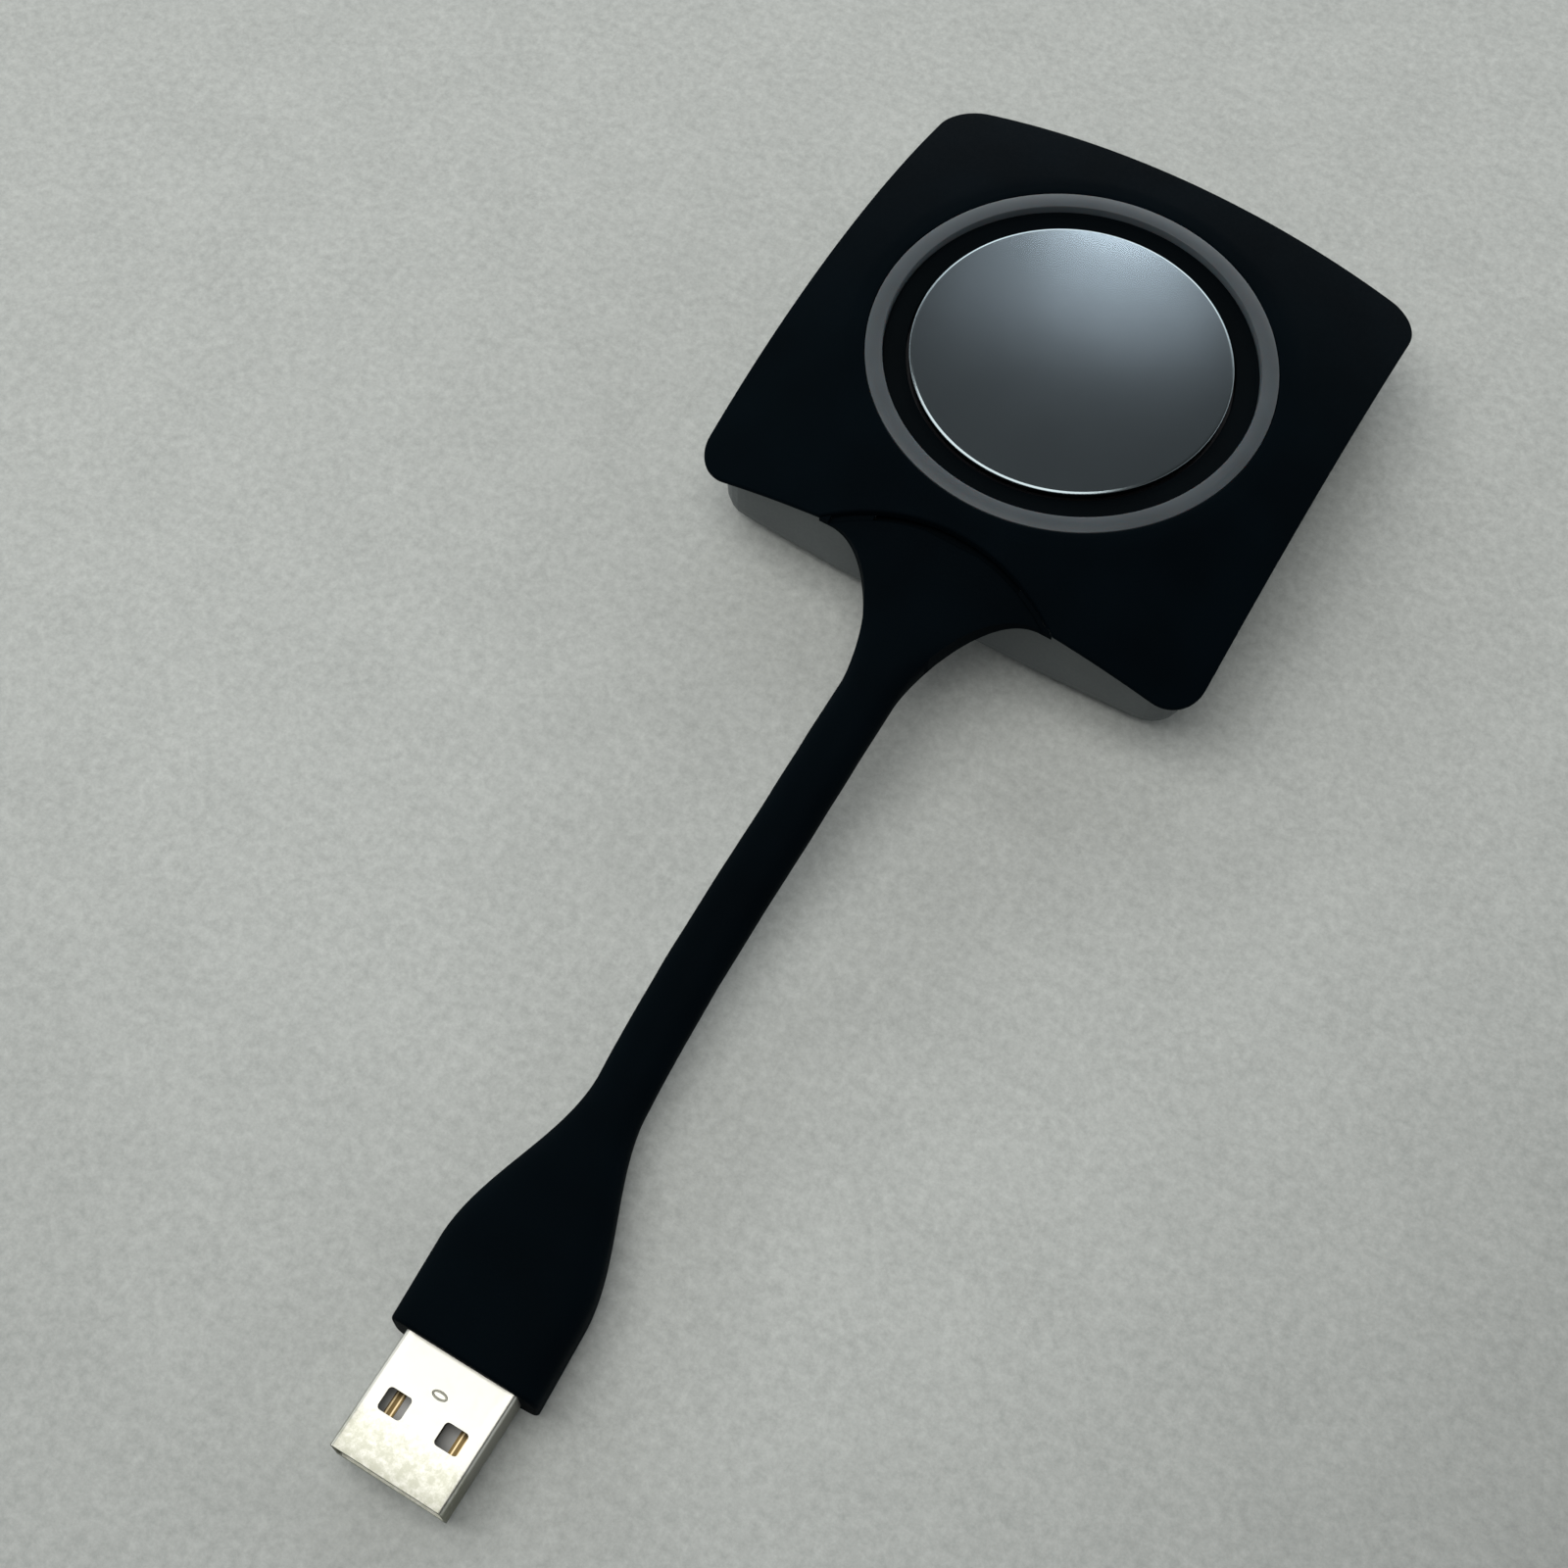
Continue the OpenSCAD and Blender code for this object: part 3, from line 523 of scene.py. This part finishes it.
def tongue_rings(steps=110, jump=0.001):
    """Lower step of the collar's end. It reaches under the cover, and fills the gap at its ends."""
    shelf = float(dome_z(-TIP_Y)) - COLLAR_RECESS - COLLAR_T + REST_GAP
    wall_x = arch_x(WALL_BACK - HEAD_HALF)
    rim_x = arch_x(COVER_STEP_W + TONGUE_RISE - HEAD_HALF)
    tip_x = arch_x(-HEAD_HALF) - TONGUE_END
    jumps = [side * (at + step) for at in (wall_x, rim_x) for side in (-1, 1)
             for step in (-jump, jump)]
    rings = []
    for x in sorted([*np.linspace(-tip_x, tip_x, steps), *jumps]):
        reach, depth = TONGUE_REACH, COVER_WALL + TONGUE_DROP
        if abs(x) > wall_x:
            reach, depth = -TONGUE_FIT, COVER_WALL - TONGUE_RISE
        if abs(x) > rim_x:
            depth = COVER_EDGE_T - TONGUE_RISE
        far = ARCH_Y + math.sqrt((ARCH_R + reach) ** 2 - x * x)
        near = min(max(float(arch_y(x)) - TONGUE_LAP, TONGUE_FIT - HEAD_HALF), far - TONGUE_FIT)
        ring = [(x, near, shelf), (x, far, shelf)]
        for y in (far, mix(far, near, 0.5), near):
            top = float(under_z(math.hypot(x, y), depth))
            ring.append((x, y, max(top, shelf + TONGUE_LEAST)))
        rings.append(np.array(ring))
    return rings


def strap_centres(per_step=4):
    """The route as a smooth line through its points."""
    p = np.array(ROUTE, float)
    ext = np.vstack([2 * p[0] - p[1], p, 2 * p[-1] - p[-2]])
    line = []
    for i in range(1, len(ext) - 2):
        a, b, c, d = ext[i - 1:i + 3]
        for k in range(per_step):
            t = k / per_step
            line.append(0.5 * (2 * b + (c - a) * t + (2 * a - 5 * b + 4 * c - d) * t ** 2
                               + (3 * b - a - 3 * c + d) * t ** 3))
    line.append(p[-1])
    return line


def section(at, half_w, half_t, square):
    """Superellipse across the cable."""
    a = section_angles()
    c, sn = np.cos(a), np.sin(a)
    return np.column_stack([at[0] + half_w * np.sign(c) * np.abs(c) ** (2 / square),
                            np.full(SIDES, at[1]),
                            at[2] + half_t * np.sign(sn) * np.abs(sn) ** (2 / square)])


def boot_ring(t, cut_in=0.0):
    """Section of the boot at the share t of its length, from the strap to the plug."""
    s = smooth(min(t * BOOT_LEN / SWELL_LEN, 1))
    at = (mix(CABLE_END[0], PLUG_X, t), CABLE_END[1] - BOOT_LEN * t,
          mix(CABLE_END[2], PLUG_Z, s))
    return section(at, mix(CABLE_W, BOOT_W, s) / 2 - cut_in, mix(CABLE_T, BOOT_H, s) / 2 - cut_in,
                   mix(CABLE_SQUARE, BOOT_SQUARE, s))


def mouth_ring(y):
    """Rounded rectangle round the plug, with its points in the order of a section's."""
    w, h, r = PLUG_W + 2 * MOUTH, PLUG_H + 2 * MOUTH, PLUG_CORNER + MOUTH
    half = np.array([w / 2 - r, h / 2 - r])
    out = []
    for k in section_angles():
        d = np.array([math.cos(k) * (w / h), math.sin(k)])
        p = d * min(w / 2 / max(abs(d[0]), TINY), h / 2 / max(abs(d[1]), TINY))
        core = np.clip(p, -half, half)
        gap = p - core
        n = np.linalg.norm(gap)
        if n > TINY and np.all(np.abs(p) > half - TINY):
            p = core + gap / n * r
        out.append((PLUG_X + p[0], y, PLUG_Z + p[1]))
    return np.array(out)


def boot_rings(steps=72):
    """The boot's outside, its rounded end, and the mouth that goes in to the plug's own end."""
    rings = [boot_ring(t) for t in np.linspace(0, 1 - BOOT_EDGE / BOOT_LEN, steps)]
    for a in np.radians([25, 50, 75, 90]):
        rings.append(boot_ring(1 - BOOT_EDGE * (1 - math.sin(a)) / BOOT_LEN,
                               BOOT_EDGE * (1 - math.cos(a))))
    short = 0.1
    return rings + [mouth_ring(BOOT_Y), mouth_ring(BOOT_Y + PLUG_IN - short)]


collar = make_object("collar_moulding", *strips(collar_rings(), first="pair", last="cap"),
                     mat("mould_rubber"), sharp=50)
tongue = make_object("collar_tongue", *strips(tongue_rings(), first="cap", last="cap"),
                     mat("mould_rubber"), sharp=30)
strap = make_object("strap_moulding",
                    *strips([section(p, CABLE_W / 2, CABLE_T / 2, CABLE_SQUARE)
                             for p in strap_centres()], first="cap", last="cap"),
                    mat("mould_rubber"), sharp=50)
boot = make_object("boot_moulding", *strips(boot_rings(), first="cap", last="cap"),
                   mat("mould_rubber"), sharp=40)

for piece, node in ((collar, "cable_collar"), (tongue, "cable_collar"), (strap, "flat_cable"),
                    (boot, "plug_boot")):
    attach(piece, "housing")
    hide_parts(node)


# Plug
PLUG_LIP = 0.07
# The two windows: width, length and corner, and their places across and from the tip
WINDOW = (2.5, 2.3)
WINDOW_CORNER = 0.4
WINDOW_X = 3.05
WINDOW_AT = 5.9
# The cutter of a window runs between these heights
CUT_Z = (-0.5, 8.0)
# The oval stamped groove: half width and half length, place from the tip, groove
STAMP = (0.7, 0.32)
STAMP_AT = 8.55
STAMP_GROOVE_W = 0.12
STAMP_GROOVE_D = 0.2
PLUG_SHARP = 30


def rounded_rect(w, h, r, per_corner=6):
    points = []
    for cx, cz, a0 in ((1, 1, 0), (-1, 1, 90), (-1, -1, 180), (1, -1, 270)):
        for a in np.linspace(a0, a0 + 90, per_corner + 1):
            points.append((cx * (w / 2 - r) + r * math.cos(math.radians(a)),
                           cz * (h / 2 - r) + r * math.sin(math.radians(a))))
    return points


def plug_tube():
    """Open shell of the plug with a rolled lip at its tip."""
    lip, end = PLUG_LIP, PLUG_OUT + PLUG_IN
    outer = [(0.0, lip), (lip * BEVEL_SHARE, lip * BEVEL_SHARE), (lip, 0.0), (end, 0.0)]
    inner = [(end, 0.0), (lip, 0.0), (0.0, -lip)]
    rings = []
    for wall, r, stops in ((0.0, PLUG_CORNER, outer),
                           (PLUG_WALL, PLUG_CORNER - PLUG_WALL / 2, inner)):
        w, h = PLUG_W - 2 * wall, PLUG_H - 2 * wall
        for back, cut_in in stops:
            rings.append([(PLUG_X + x, PLUG_TIP + back, PLUG_Z + z)
                          for x, z in rounded_rect(w - 2 * cut_in, h - 2 * cut_in, r - cut_in)])
    return strips(rings, wrap=True)


def window_cutter(side):
    """Upright block through both walls of the plug."""
    ring = [(PLUG_X + side * WINDOW_X + x, PLUG_TIP + WINDOW_AT + y)
            for x, y in rounded_rect(WINDOW[0], WINDOW[1], WINDOW_CORNER)]
    return strips([[(x, y, z) for x, y in ring] for z in CUT_Z], first="cap", last="cap")


def stamp_cutter(round_steps=40, groove_steps=12):
    """Oval ring whose lower half cuts the stamped groove."""
    angles = np.arange(round_steps) * 2 * np.pi / round_steps
    rings = []
    for b in np.arange(groove_steps) * 2 * np.pi / groove_steps:
        grow = STAMP_GROOVE_W * math.cos(b)
        top = PLUG_Z + PLUG_H / 2 + STAMP_GROOVE_D * math.sin(b)
        rings.append(np.column_stack([PLUG_X + (STAMP[0] + grow) * np.cos(angles),
                                      PLUG_TIP + STAMP_AT + (STAMP[1] + grow) * np.sin(angles),
                                      np.full(round_steps, top)]))
    return strips(rings, wrap=True)


def cut(obj, points, faces):
    """Cut the closed form of the points and faces out of the object."""
    tool = make_object("cutter", points, faces, mat("plug_metal"))
    mod = obj.modifiers.new("cut", "BOOLEAN")
    mod.operation = "DIFFERENCE"
    mod.solver = "EXACT"
    mod.object = tool
    depsgraph = bpy.context.evaluated_depsgraph_get()
    new = bpy.data.meshes.new_from_object(obj.evaluated_get(depsgraph))
    obj.modifiers.clear()
    old = obj.data
    obj.data = new
    bpy.data.meshes.remove(old)
    bpy.data.objects.remove(tool)


plug = make_object("usb_shell_detail", *plug_tube(), mat("plug_metal"), PLUG_SHARP)
for side in (-1, 1):
    cut(plug, *window_cutter(side))
cut(plug, *stamp_cutter())
smooth_shading(plug.data, PLUG_SHARP)
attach(plug, "housing")
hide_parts("usb_shell")


# Top cover
ARCH_STEPS = 64
BEND_STEPS = 14
SIDE_STEPS = 44
FRONT_STEPS = 10
DOME_STEPS = 12
FILLET_STEPS = 5
# Rounding of the rim's top, of its bottom and of the opening's edge
RIM_FILLET = 0.3
RIM_LOW = 0.1
OPENING_LIP = 0.12
# Gap between the opening and the light ring
OPENING_SLIT = 0.06
# Stops of the land, which falls from the dome to the light ring
LAND_STOPS = (22.9, 23.5, LAND_R)
# The step's width at the arch, as a share of its width elsewhere
ARCH_STEP_SHARE = 0.7
# The underside's first line lies this far in from the rim
UNDER_IN = 1.4


def cover_outline(d):
    """Plan of the cover with its arch, moved inwards by d, and the outward direction there."""
    h, r = HEAD_HALF - d, HEAD_CORNER - d
    tip_x = math.sqrt((ARCH_R + d) ** 2 - (-h - ARCH_Y) ** 2)
    points, normals = [], []

    def line(p, q, n, steps):
        for k in range(steps):
            points.append(np.array(p) + (np.array(q) - np.array(p)) * k / steps)
            normals.append(n)

    def bend(cx, cy, a0):
        for k in range(BEND_STEPS):
            a = math.radians(a0 + 90 * k / BEND_STEPS)
            points.append(np.array((cx + r * math.cos(a), cy + r * math.sin(a))))
            normals.append((math.cos(a), math.sin(a)))

    i = h - r
    line((tip_x, -h), (i, -h), (0, -1), FRONT_STEPS)
    bend(i, -i, -90)
    line((h, -i), (h, i), (1, 0), SIDE_STEPS)
    bend(i, i, 0)
    line((i, h), (-i, h), (0, 1), SIDE_STEPS)
    bend(-i, i, 90)
    line((-h, i), (-h, -i), (-1, 0), SIDE_STEPS)
    bend(-i, -i, 180)
    line((-i, -h), (-tip_x, -h), (0, -1), FRONT_STEPS)
    half = math.asin(tip_x / (ARCH_R + d))
    for k in range(ARCH_STEPS):
        a = mix(-half, half, k / ARCH_STEPS)
        n = (-math.sin(a), -math.cos(a))
        points.append(np.array((-(ARCH_R + d) * n[0], ARCH_Y - (ARCH_R + d) * n[1])))
        normals.append(n)
    return np.array(points), np.array(normals)


def land_z(r):
    """Height of the land that falls from the dome to the light ring."""
    return mix(RING_Z, dome_z(LAND_R), (r - RING_R) / (LAND_R - RING_R))


def on_sphere(plan, depth):
    """The plan's points at their height on the sphere that lies depth below the dome."""
    return np.column_stack([plan, under_z(np.linalg.norm(plan, axis=1), depth)])


def build_cover():
    """Rings from the opening, over the dome and round the rim, to the underside and back."""
    edge, normal = cover_outline(0.0)
    inset, _ = cover_outline(RIM_FILLET)
    n = len(edge)
    r_in = np.linalg.norm(inset, axis=1)
    along = inset / r_in[:, None]
    tilt = np.arcsin(r_in / DOME_R) * np.sum(along * normal, axis=1)
    centre_z = DOME_CENTRE + np.sqrt((DOME_R - RIM_FILLET) ** 2 - r_in ** 2)

    def plan(d):
        return edge + (inset - edge) * d / RIM_FILLET

    def circle(r, z):
        return np.column_stack([along * r, np.full(n, z)])

    opening, lip = RING_R + OPENING_SLIT, OPENING_LIP
    middle = lip * BEVEL_SHARE
    rings = [circle(opening, RING_FOOT_TOP), circle(opening, land_z(opening) - lip),
             circle(opening + middle, land_z(opening) - middle),
             circle(opening + lip, land_z(opening + lip))]
    rings += [circle(r, land_z(r)) for r in LAND_STOPS]
    # the fillet turns from the sphere's slope to upright round the rim
    start = plan(RIM_FILLET * (1 - np.sin(tilt))[:, None])
    ring_plan = along * LAND_R
    for k in range(1, DOME_STEPS):
        p = mix(ring_plan, start, k / DOME_STEPS)
        rings.append(np.column_stack([p, dome_z(np.linalg.norm(p, axis=1))]))
    for k in range(FILLET_STEPS + 1):
        a = mix(tilt, np.full(n, math.pi / 2), k / FILLET_STEPS)
        rings.append(np.column_stack([plan(RIM_FILLET * (1 - np.sin(a))[:, None]),
                                      centre_z + RIM_FILLET * np.cos(a)]))
    # the rim is thin outside a step, but the arch keeps the whole wall
    arch = (np.arange(n) >= n - ARCH_STEPS) & (edge[:, 1] > COVER_STEP_W - HEAD_HALF)
    rim_t = np.where(arch, COVER_WALL, COVER_EDGE_T)
    bottom = under_z(np.linalg.norm(edge, axis=1), rim_t)
    for a in np.radians([0, 30, 60, 90]):
        rings.append(np.column_stack([plan(RIM_LOW * (1 - math.cos(a))),
                                      bottom + RIM_LOW * (1 - math.sin(a))]))
    step = cover_outline(COVER_STEP_W)[0]
    arch_step = cover_outline(COVER_STEP_W * ARCH_STEP_SHARE)[0]
    rings.append(on_sphere(np.where(arch[:, None], arch_step, step), rim_t))
    for under in (step, cover_outline(UNDER_IN)[0]):
        rings.append(on_sphere(under, COVER_WALL))
    rings.append(circle(RING_FOOT_R, under_z(RING_FOOT_R, COVER_WALL)))
    rings.append(circle(RING_FOOT_R, RING_FOOT_TOP))
    return strips(rings, wrap=True)


cover = make_object("cover_shell", *build_cover(), mat("cover_black"), sharp=28)
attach(cover, "housing")
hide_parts("top_cover")

# Light ring, bezel and button
RING_EDGE = 0.09
RING_PROUD = 0.004
# The ring's inner edge: how far out and how far down its points lie
RING_BEVEL = (0.22, 0.08)
RING_FALL = (0.04, 0.2)
BEZEL_BEVEL = (0.15, 0.04)
CROWN_R = (CAP_R ** 2 + CAP_CROWN ** 2) / (2 * CAP_CROWN)
# The disc's chamfer, the rounding outside it and the rounding of its lower edge
CAP_BEVEL = 0.19
CAP_SLOPE = math.radians(19)
CAP_ROUND = 0.1
CAP_LOW = 0.08
# The rounding turns this far, in degrees, and leaves this share of the chamfer at each end
ROUND_TURN = 68
BEVEL_END_SHARE = 0.06
# The crown starts with a narrow strip and then this far in
CROWN_STRIP = 0.015
CROWN_IN = 0.4


def ring_profile():
    """Frosted lens that rises a little inwards, over the foot that hangs it under the cover."""
    top_in = RING_Z + RING_RECESS / 3
    return [(RING_IN, RING_BOTTOM), (RING_FOOT_R, RING_BOTTOM), (RING_FOOT_R, RING_FOOT_TOP),
            (RING_R, RING_FOOT_TOP), (RING_R, RING_Z - RING_EDGE),
            (RING_R - RING_EDGE * BEVEL_SHARE, RING_Z - RING_EDGE * BEVEL_SHARE),
            (RING_R - RING_EDGE, RING_Z + RING_PROUD),
            (mix(RING_R, RING_IN, 0.5), mix(RING_Z, top_in, 0.6)),
            (RING_IN + RING_BEVEL[0], top_in), (RING_IN + RING_BEVEL[1], top_in - RING_FALL[0]),
            (RING_IN, top_in - RING_FALL[1])]


def bezel_profile():
    """Flat annulus with a skirt down to the board."""
    hole = CAP_R + CAP_GAP
    wide, narrow = BEZEL_BEVEL
    return [(BEZEL_SKIRT, BOARD_TOP), (BEZEL_OUT, BOARD_TOP), (BEZEL_OUT, BEZEL_Z),
            (hole + wide, BEZEL_Z), (hole + narrow, BEZEL_Z - narrow), (hole, BEZEL_Z - wide),
            (hole, BEZEL_Z - BEZEL_T), (BEZEL_SKIRT, BEZEL_Z - BEZEL_T)]


def crown_z(r):
    return CAP_EDGE_Z + CAP_CROWN - CROWN_R + math.sqrt(CROWN_R ** 2 - r * r)


def cap_profile(crown_steps=26, round_steps=6):
    """Crowned disc with a bright chamfer and a rounding outside it."""
    low = CAP_EDGE_Z - CAP_T
    bevel_r = CAP_R - CAP_ROUND * (1 - math.sin(CAP_SLOPE))
    crown_r = bevel_r - CAP_BEVEL
    bevel_z = crown_z(crown_r) - CAP_BEVEL * math.tan(CAP_SLOPE)
    profile = [(AXIS_R, low), (CAP_R - CAP_LOW, low), (CAP_R, low + CAP_LOW)]
    profile += arc_points((CAP_R - CAP_ROUND, bevel_z - CAP_ROUND * math.cos(CAP_SLOPE)),
                          CAP_ROUND, 0, ROUND_TURN, round_steps)
    profile += [(bevel_r - k * CAP_BEVEL, bevel_z + k * CAP_BEVEL * math.tan(CAP_SLOPE))
                for k in (BEVEL_END_SHARE, 1 - BEVEL_END_SHARE)]
    profile += [(crown_r - k, crown_z(crown_r - k)) for k in (0, CROWN_STRIP)]
    profile += [(r, crown_z(r)) for r in np.linspace(crown_r - CROWN_IN, AXIS_R, crown_steps)]
    return profile


light_ring = make_object("ring_lens", *strips(lathe(ring_profile()), wrap=True),
                         mat("ring_diffuser"), sharp=40)
bezel = make_object("bezel_ring", *strips(lathe(bezel_profile()), wrap=True),
                    mat("bezel_black"), sharp=40)
cap = make_object("button_disc", *strips(lathe(cap_profile()), first="cap", last="cap"),
                  mat("button_metal"), sharp=40)
for piece, node, slot in ((light_ring, "light_ring", "ring_diffuser"),
                          (bezel, "inner_bezel", "bezel_black")):
    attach(piece, "housing")
    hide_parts(node)
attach(cap, "button")
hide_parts("button_cap")

# Feet
FOOT_EDGE = 0.2
FOOT_STEPS = 64


def build_feet():
    """Four round feet in one mesh."""
    middle = FOOT_EDGE * BEVEL_SHARE
    profile = [(AXIS_R, 0.0), (FOOT_R - FOOT_EDGE, 0.0), (FOOT_R - middle, middle),
               (FOOT_R, FOOT_EDGE), (FOOT_R, FOOT_TOP), (AXIS_R, FOOT_TOP)]
    points, faces = [], []
    for sx in (-1, 1):
        for sy in (-1, 1):
            foot, sides = strips(lathe(profile, FOOT_STEPS, (sx * FOOT_AT, sy * FOOT_AT)),
                                 first="cap", last="cap")
            faces += [tuple(i + len(points) for i in face) for face in sides]
            points += list(foot)
    return points, faces


feet = make_object("feet", *build_feet(), mat("foot_rubber"), sharp=40)
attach(feet, "housing")
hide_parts("rubber_feet")

# CAD nodes that stay get their materials
slots = {row["node"]: row["material_slot"] for row in frame["record"]["subparts"]}
for name, obj in frame["nodes"].items():
    obj.data.materials.clear()
    obj.data.materials.append(mat(slots[name]))
    smooth_shading(obj.data, sharp=28)

# Floor
FLOOR_HALF = 1500
# Painted shade in place of the lamps' fall-off, where the floor darkens: start (m), direction
# (degrees), length (m) and level at its end
PAINTED_SHADE_RIGHT = ((0.056, -0.02), -20, 0.08, 0.60)
PAINTED_SHADE_FRONT = ((-0.03, -0.095), -108, 0.06, 0.84)


def floor_material():
    """Pale grey paper with a fine felt and a faint cloudiness, with painted shade that darkens it to
    the right and the front.
    """
    s = Shader("paper", (0.54, 0.56, 0.54), 0.9, specular=0.15)
    cloud = s.noise(9.0, detail=3.0, rough=0.5)
    fine = s.noise(1.2, detail=6.0, rough=0.8, seed=2.0)
    both = s.node("ShaderNodeMix", data_type="FLOAT")
    both.inputs[0].default_value = 0.85
    s.link(cloud, both.inputs[2])
    s.link(fine, both.inputs[3])
    felt = s.ramp(both.outputs[0], (0.452, 0.472, 0.455), (0.611, 0.634, 0.611), 0.36, 0.64)
    # painted shade: the paper's colour is darkened towards the right and the front
    shades = [s.ramp(fade(s, start, degrees, length), 1.0, level, 0.0, 1.0)
              for start, degrees, length, level in (PAINTED_SHADE_RIGHT, PAINTED_SHADE_FRONT)]
    shade = product(s, *shades)
    tone = s.node("ShaderNodeMix", data_type="RGBA", blend_type="MULTIPLY")
    tone.inputs[0].default_value = 1.0
    s.link(felt, tone.inputs[6])
    s.link(shade, tone.inputs[7])
    s.link(tone.outputs[2], s.bsdf.inputs["Base Color"])
    s.bump(fine, 0.05, 0.6)
    return s


floor_corners = [(x * FLOOR_HALF, y * FLOOR_HALF, 0) for x, y in ((-1, -1), (1, -1), (1, 1), (-1, 1))]
floor = make_object("floor", floor_corners, [(0, 1, 2, 3)], floor_material().material)

# Light: the room is pale low down and dark above, as positions of the height and colours
ROOM_LOW = (0.30, (1.55, 1.60, 1.62))
ROOM_HIGH = (0.56, (0.059, 0.060, 0.061))
# It is brightest towards the windows: how far a direction points there, and the level
WINDOW_SIDE = (-0.5, 0.866, 0.0)
SIDE_RANGE = (-0.8, 0.8)
LEVEL_RANGE = (0.25, 1.75)


def room_light():
    """A room with pale walls and a dark ceiling, brightest low down at its window side."""
    world = bpy.data.worlds.new("world")
    world.use_nodes = True
    tree = world.node_tree
    background = tree.nodes["Background"]
    coords = tree.nodes.new("ShaderNodeTexCoord")
    split = tree.nodes.new("ShaderNodeSeparateXYZ")
    ramp = tree.nodes.new("ShaderNodeValToRGB")
    ramp.color_ramp.interpolation = "EASE"
    for end, (position, color) in zip(ramp.color_ramp.elements, (ROOM_LOW, ROOM_HIGH)):
        end.position = position
        end.color = (*color, 1)
    tree.links.new(coords.outputs["Generated"], split.inputs[0])
    tree.links.new(split.outputs["Z"], ramp.inputs["Fac"])
    side = tree.nodes.new("ShaderNodeVectorMath")
    side.operation = "DOT_PRODUCT"
    side.inputs[1].default_value = WINDOW_SIDE
    tree.links.new(coords.outputs["Generated"], side.inputs[0])
    level = tree.nodes.new("ShaderNodeMapRange")
    for name, values in (("From", SIDE_RANGE), ("To", LEVEL_RANGE)):
        level.inputs[name + " Min"].default_value = values[0]
        level.inputs[name + " Max"].default_value = values[1]
    tree.links.new(side.outputs["Value"], level.inputs["Value"])
    tree.links.new(level.outputs["Result"], background.inputs["Strength"])
    tree.links.new(ramp.outputs["Color"], background.inputs["Color"])
    return world


def area_light(name, direction, distance, size, power, color, up=(0, 0, 1),
               target=(0, -0.04, 0.01)):
    """A lamp at the distance (m) from the target in the direction, facing the target."""
    data = bpy.data.lights.new(name, "AREA")
    data.shape = "RECTANGLE"
    data.size, data.size_y = size
    data.energy = power
    data.color = color
    obj = bpy.data.objects.new(name, data)
    scene.collection.objects.link(obj)
    back = Vector(direction).normalized()
    right = Vector(up).cross(back).normalized()
    obj.matrix_world = (Matrix.Translation(Vector(target) + back * distance)
                        @ Matrix((right, back.cross(right), back)).transposed().to_4x4())


KEY_COLOR = (1.0, 0.985, 0.95)
PANE_COLOR = (0.97, 1.0, 1.08)
PANE_AWAY = 0.75
# Three panes of a window behind the head, which make the sheen on the button's far side:
# direction, width and height (m), and power (W)
PANES = {
    "pane_right": ((-0.1624, 0.7145, 0.6806), (0.131, 0.141), 0.037),
    "pane_left": ((-0.2414, 0.7026, 0.6694), (0.16, 0.202), 0.033),
    "pane_low": ((-0.2107, 0.7578, 0.6175), (0.08, 0.03), 0.11),
}
scene.world = room_light()
area_light("key", (-0.24, -0.13, 1.0), 0.9, (1.0, 0.64), 5.4, KEY_COLOR, up=(0, 1, 0))
for name, (direction, size, power) in PANES.items():
    area_light(name, direction, PANE_AWAY, size, power, PANE_COLOR)

scene.view_settings.view_transform = "Standard"
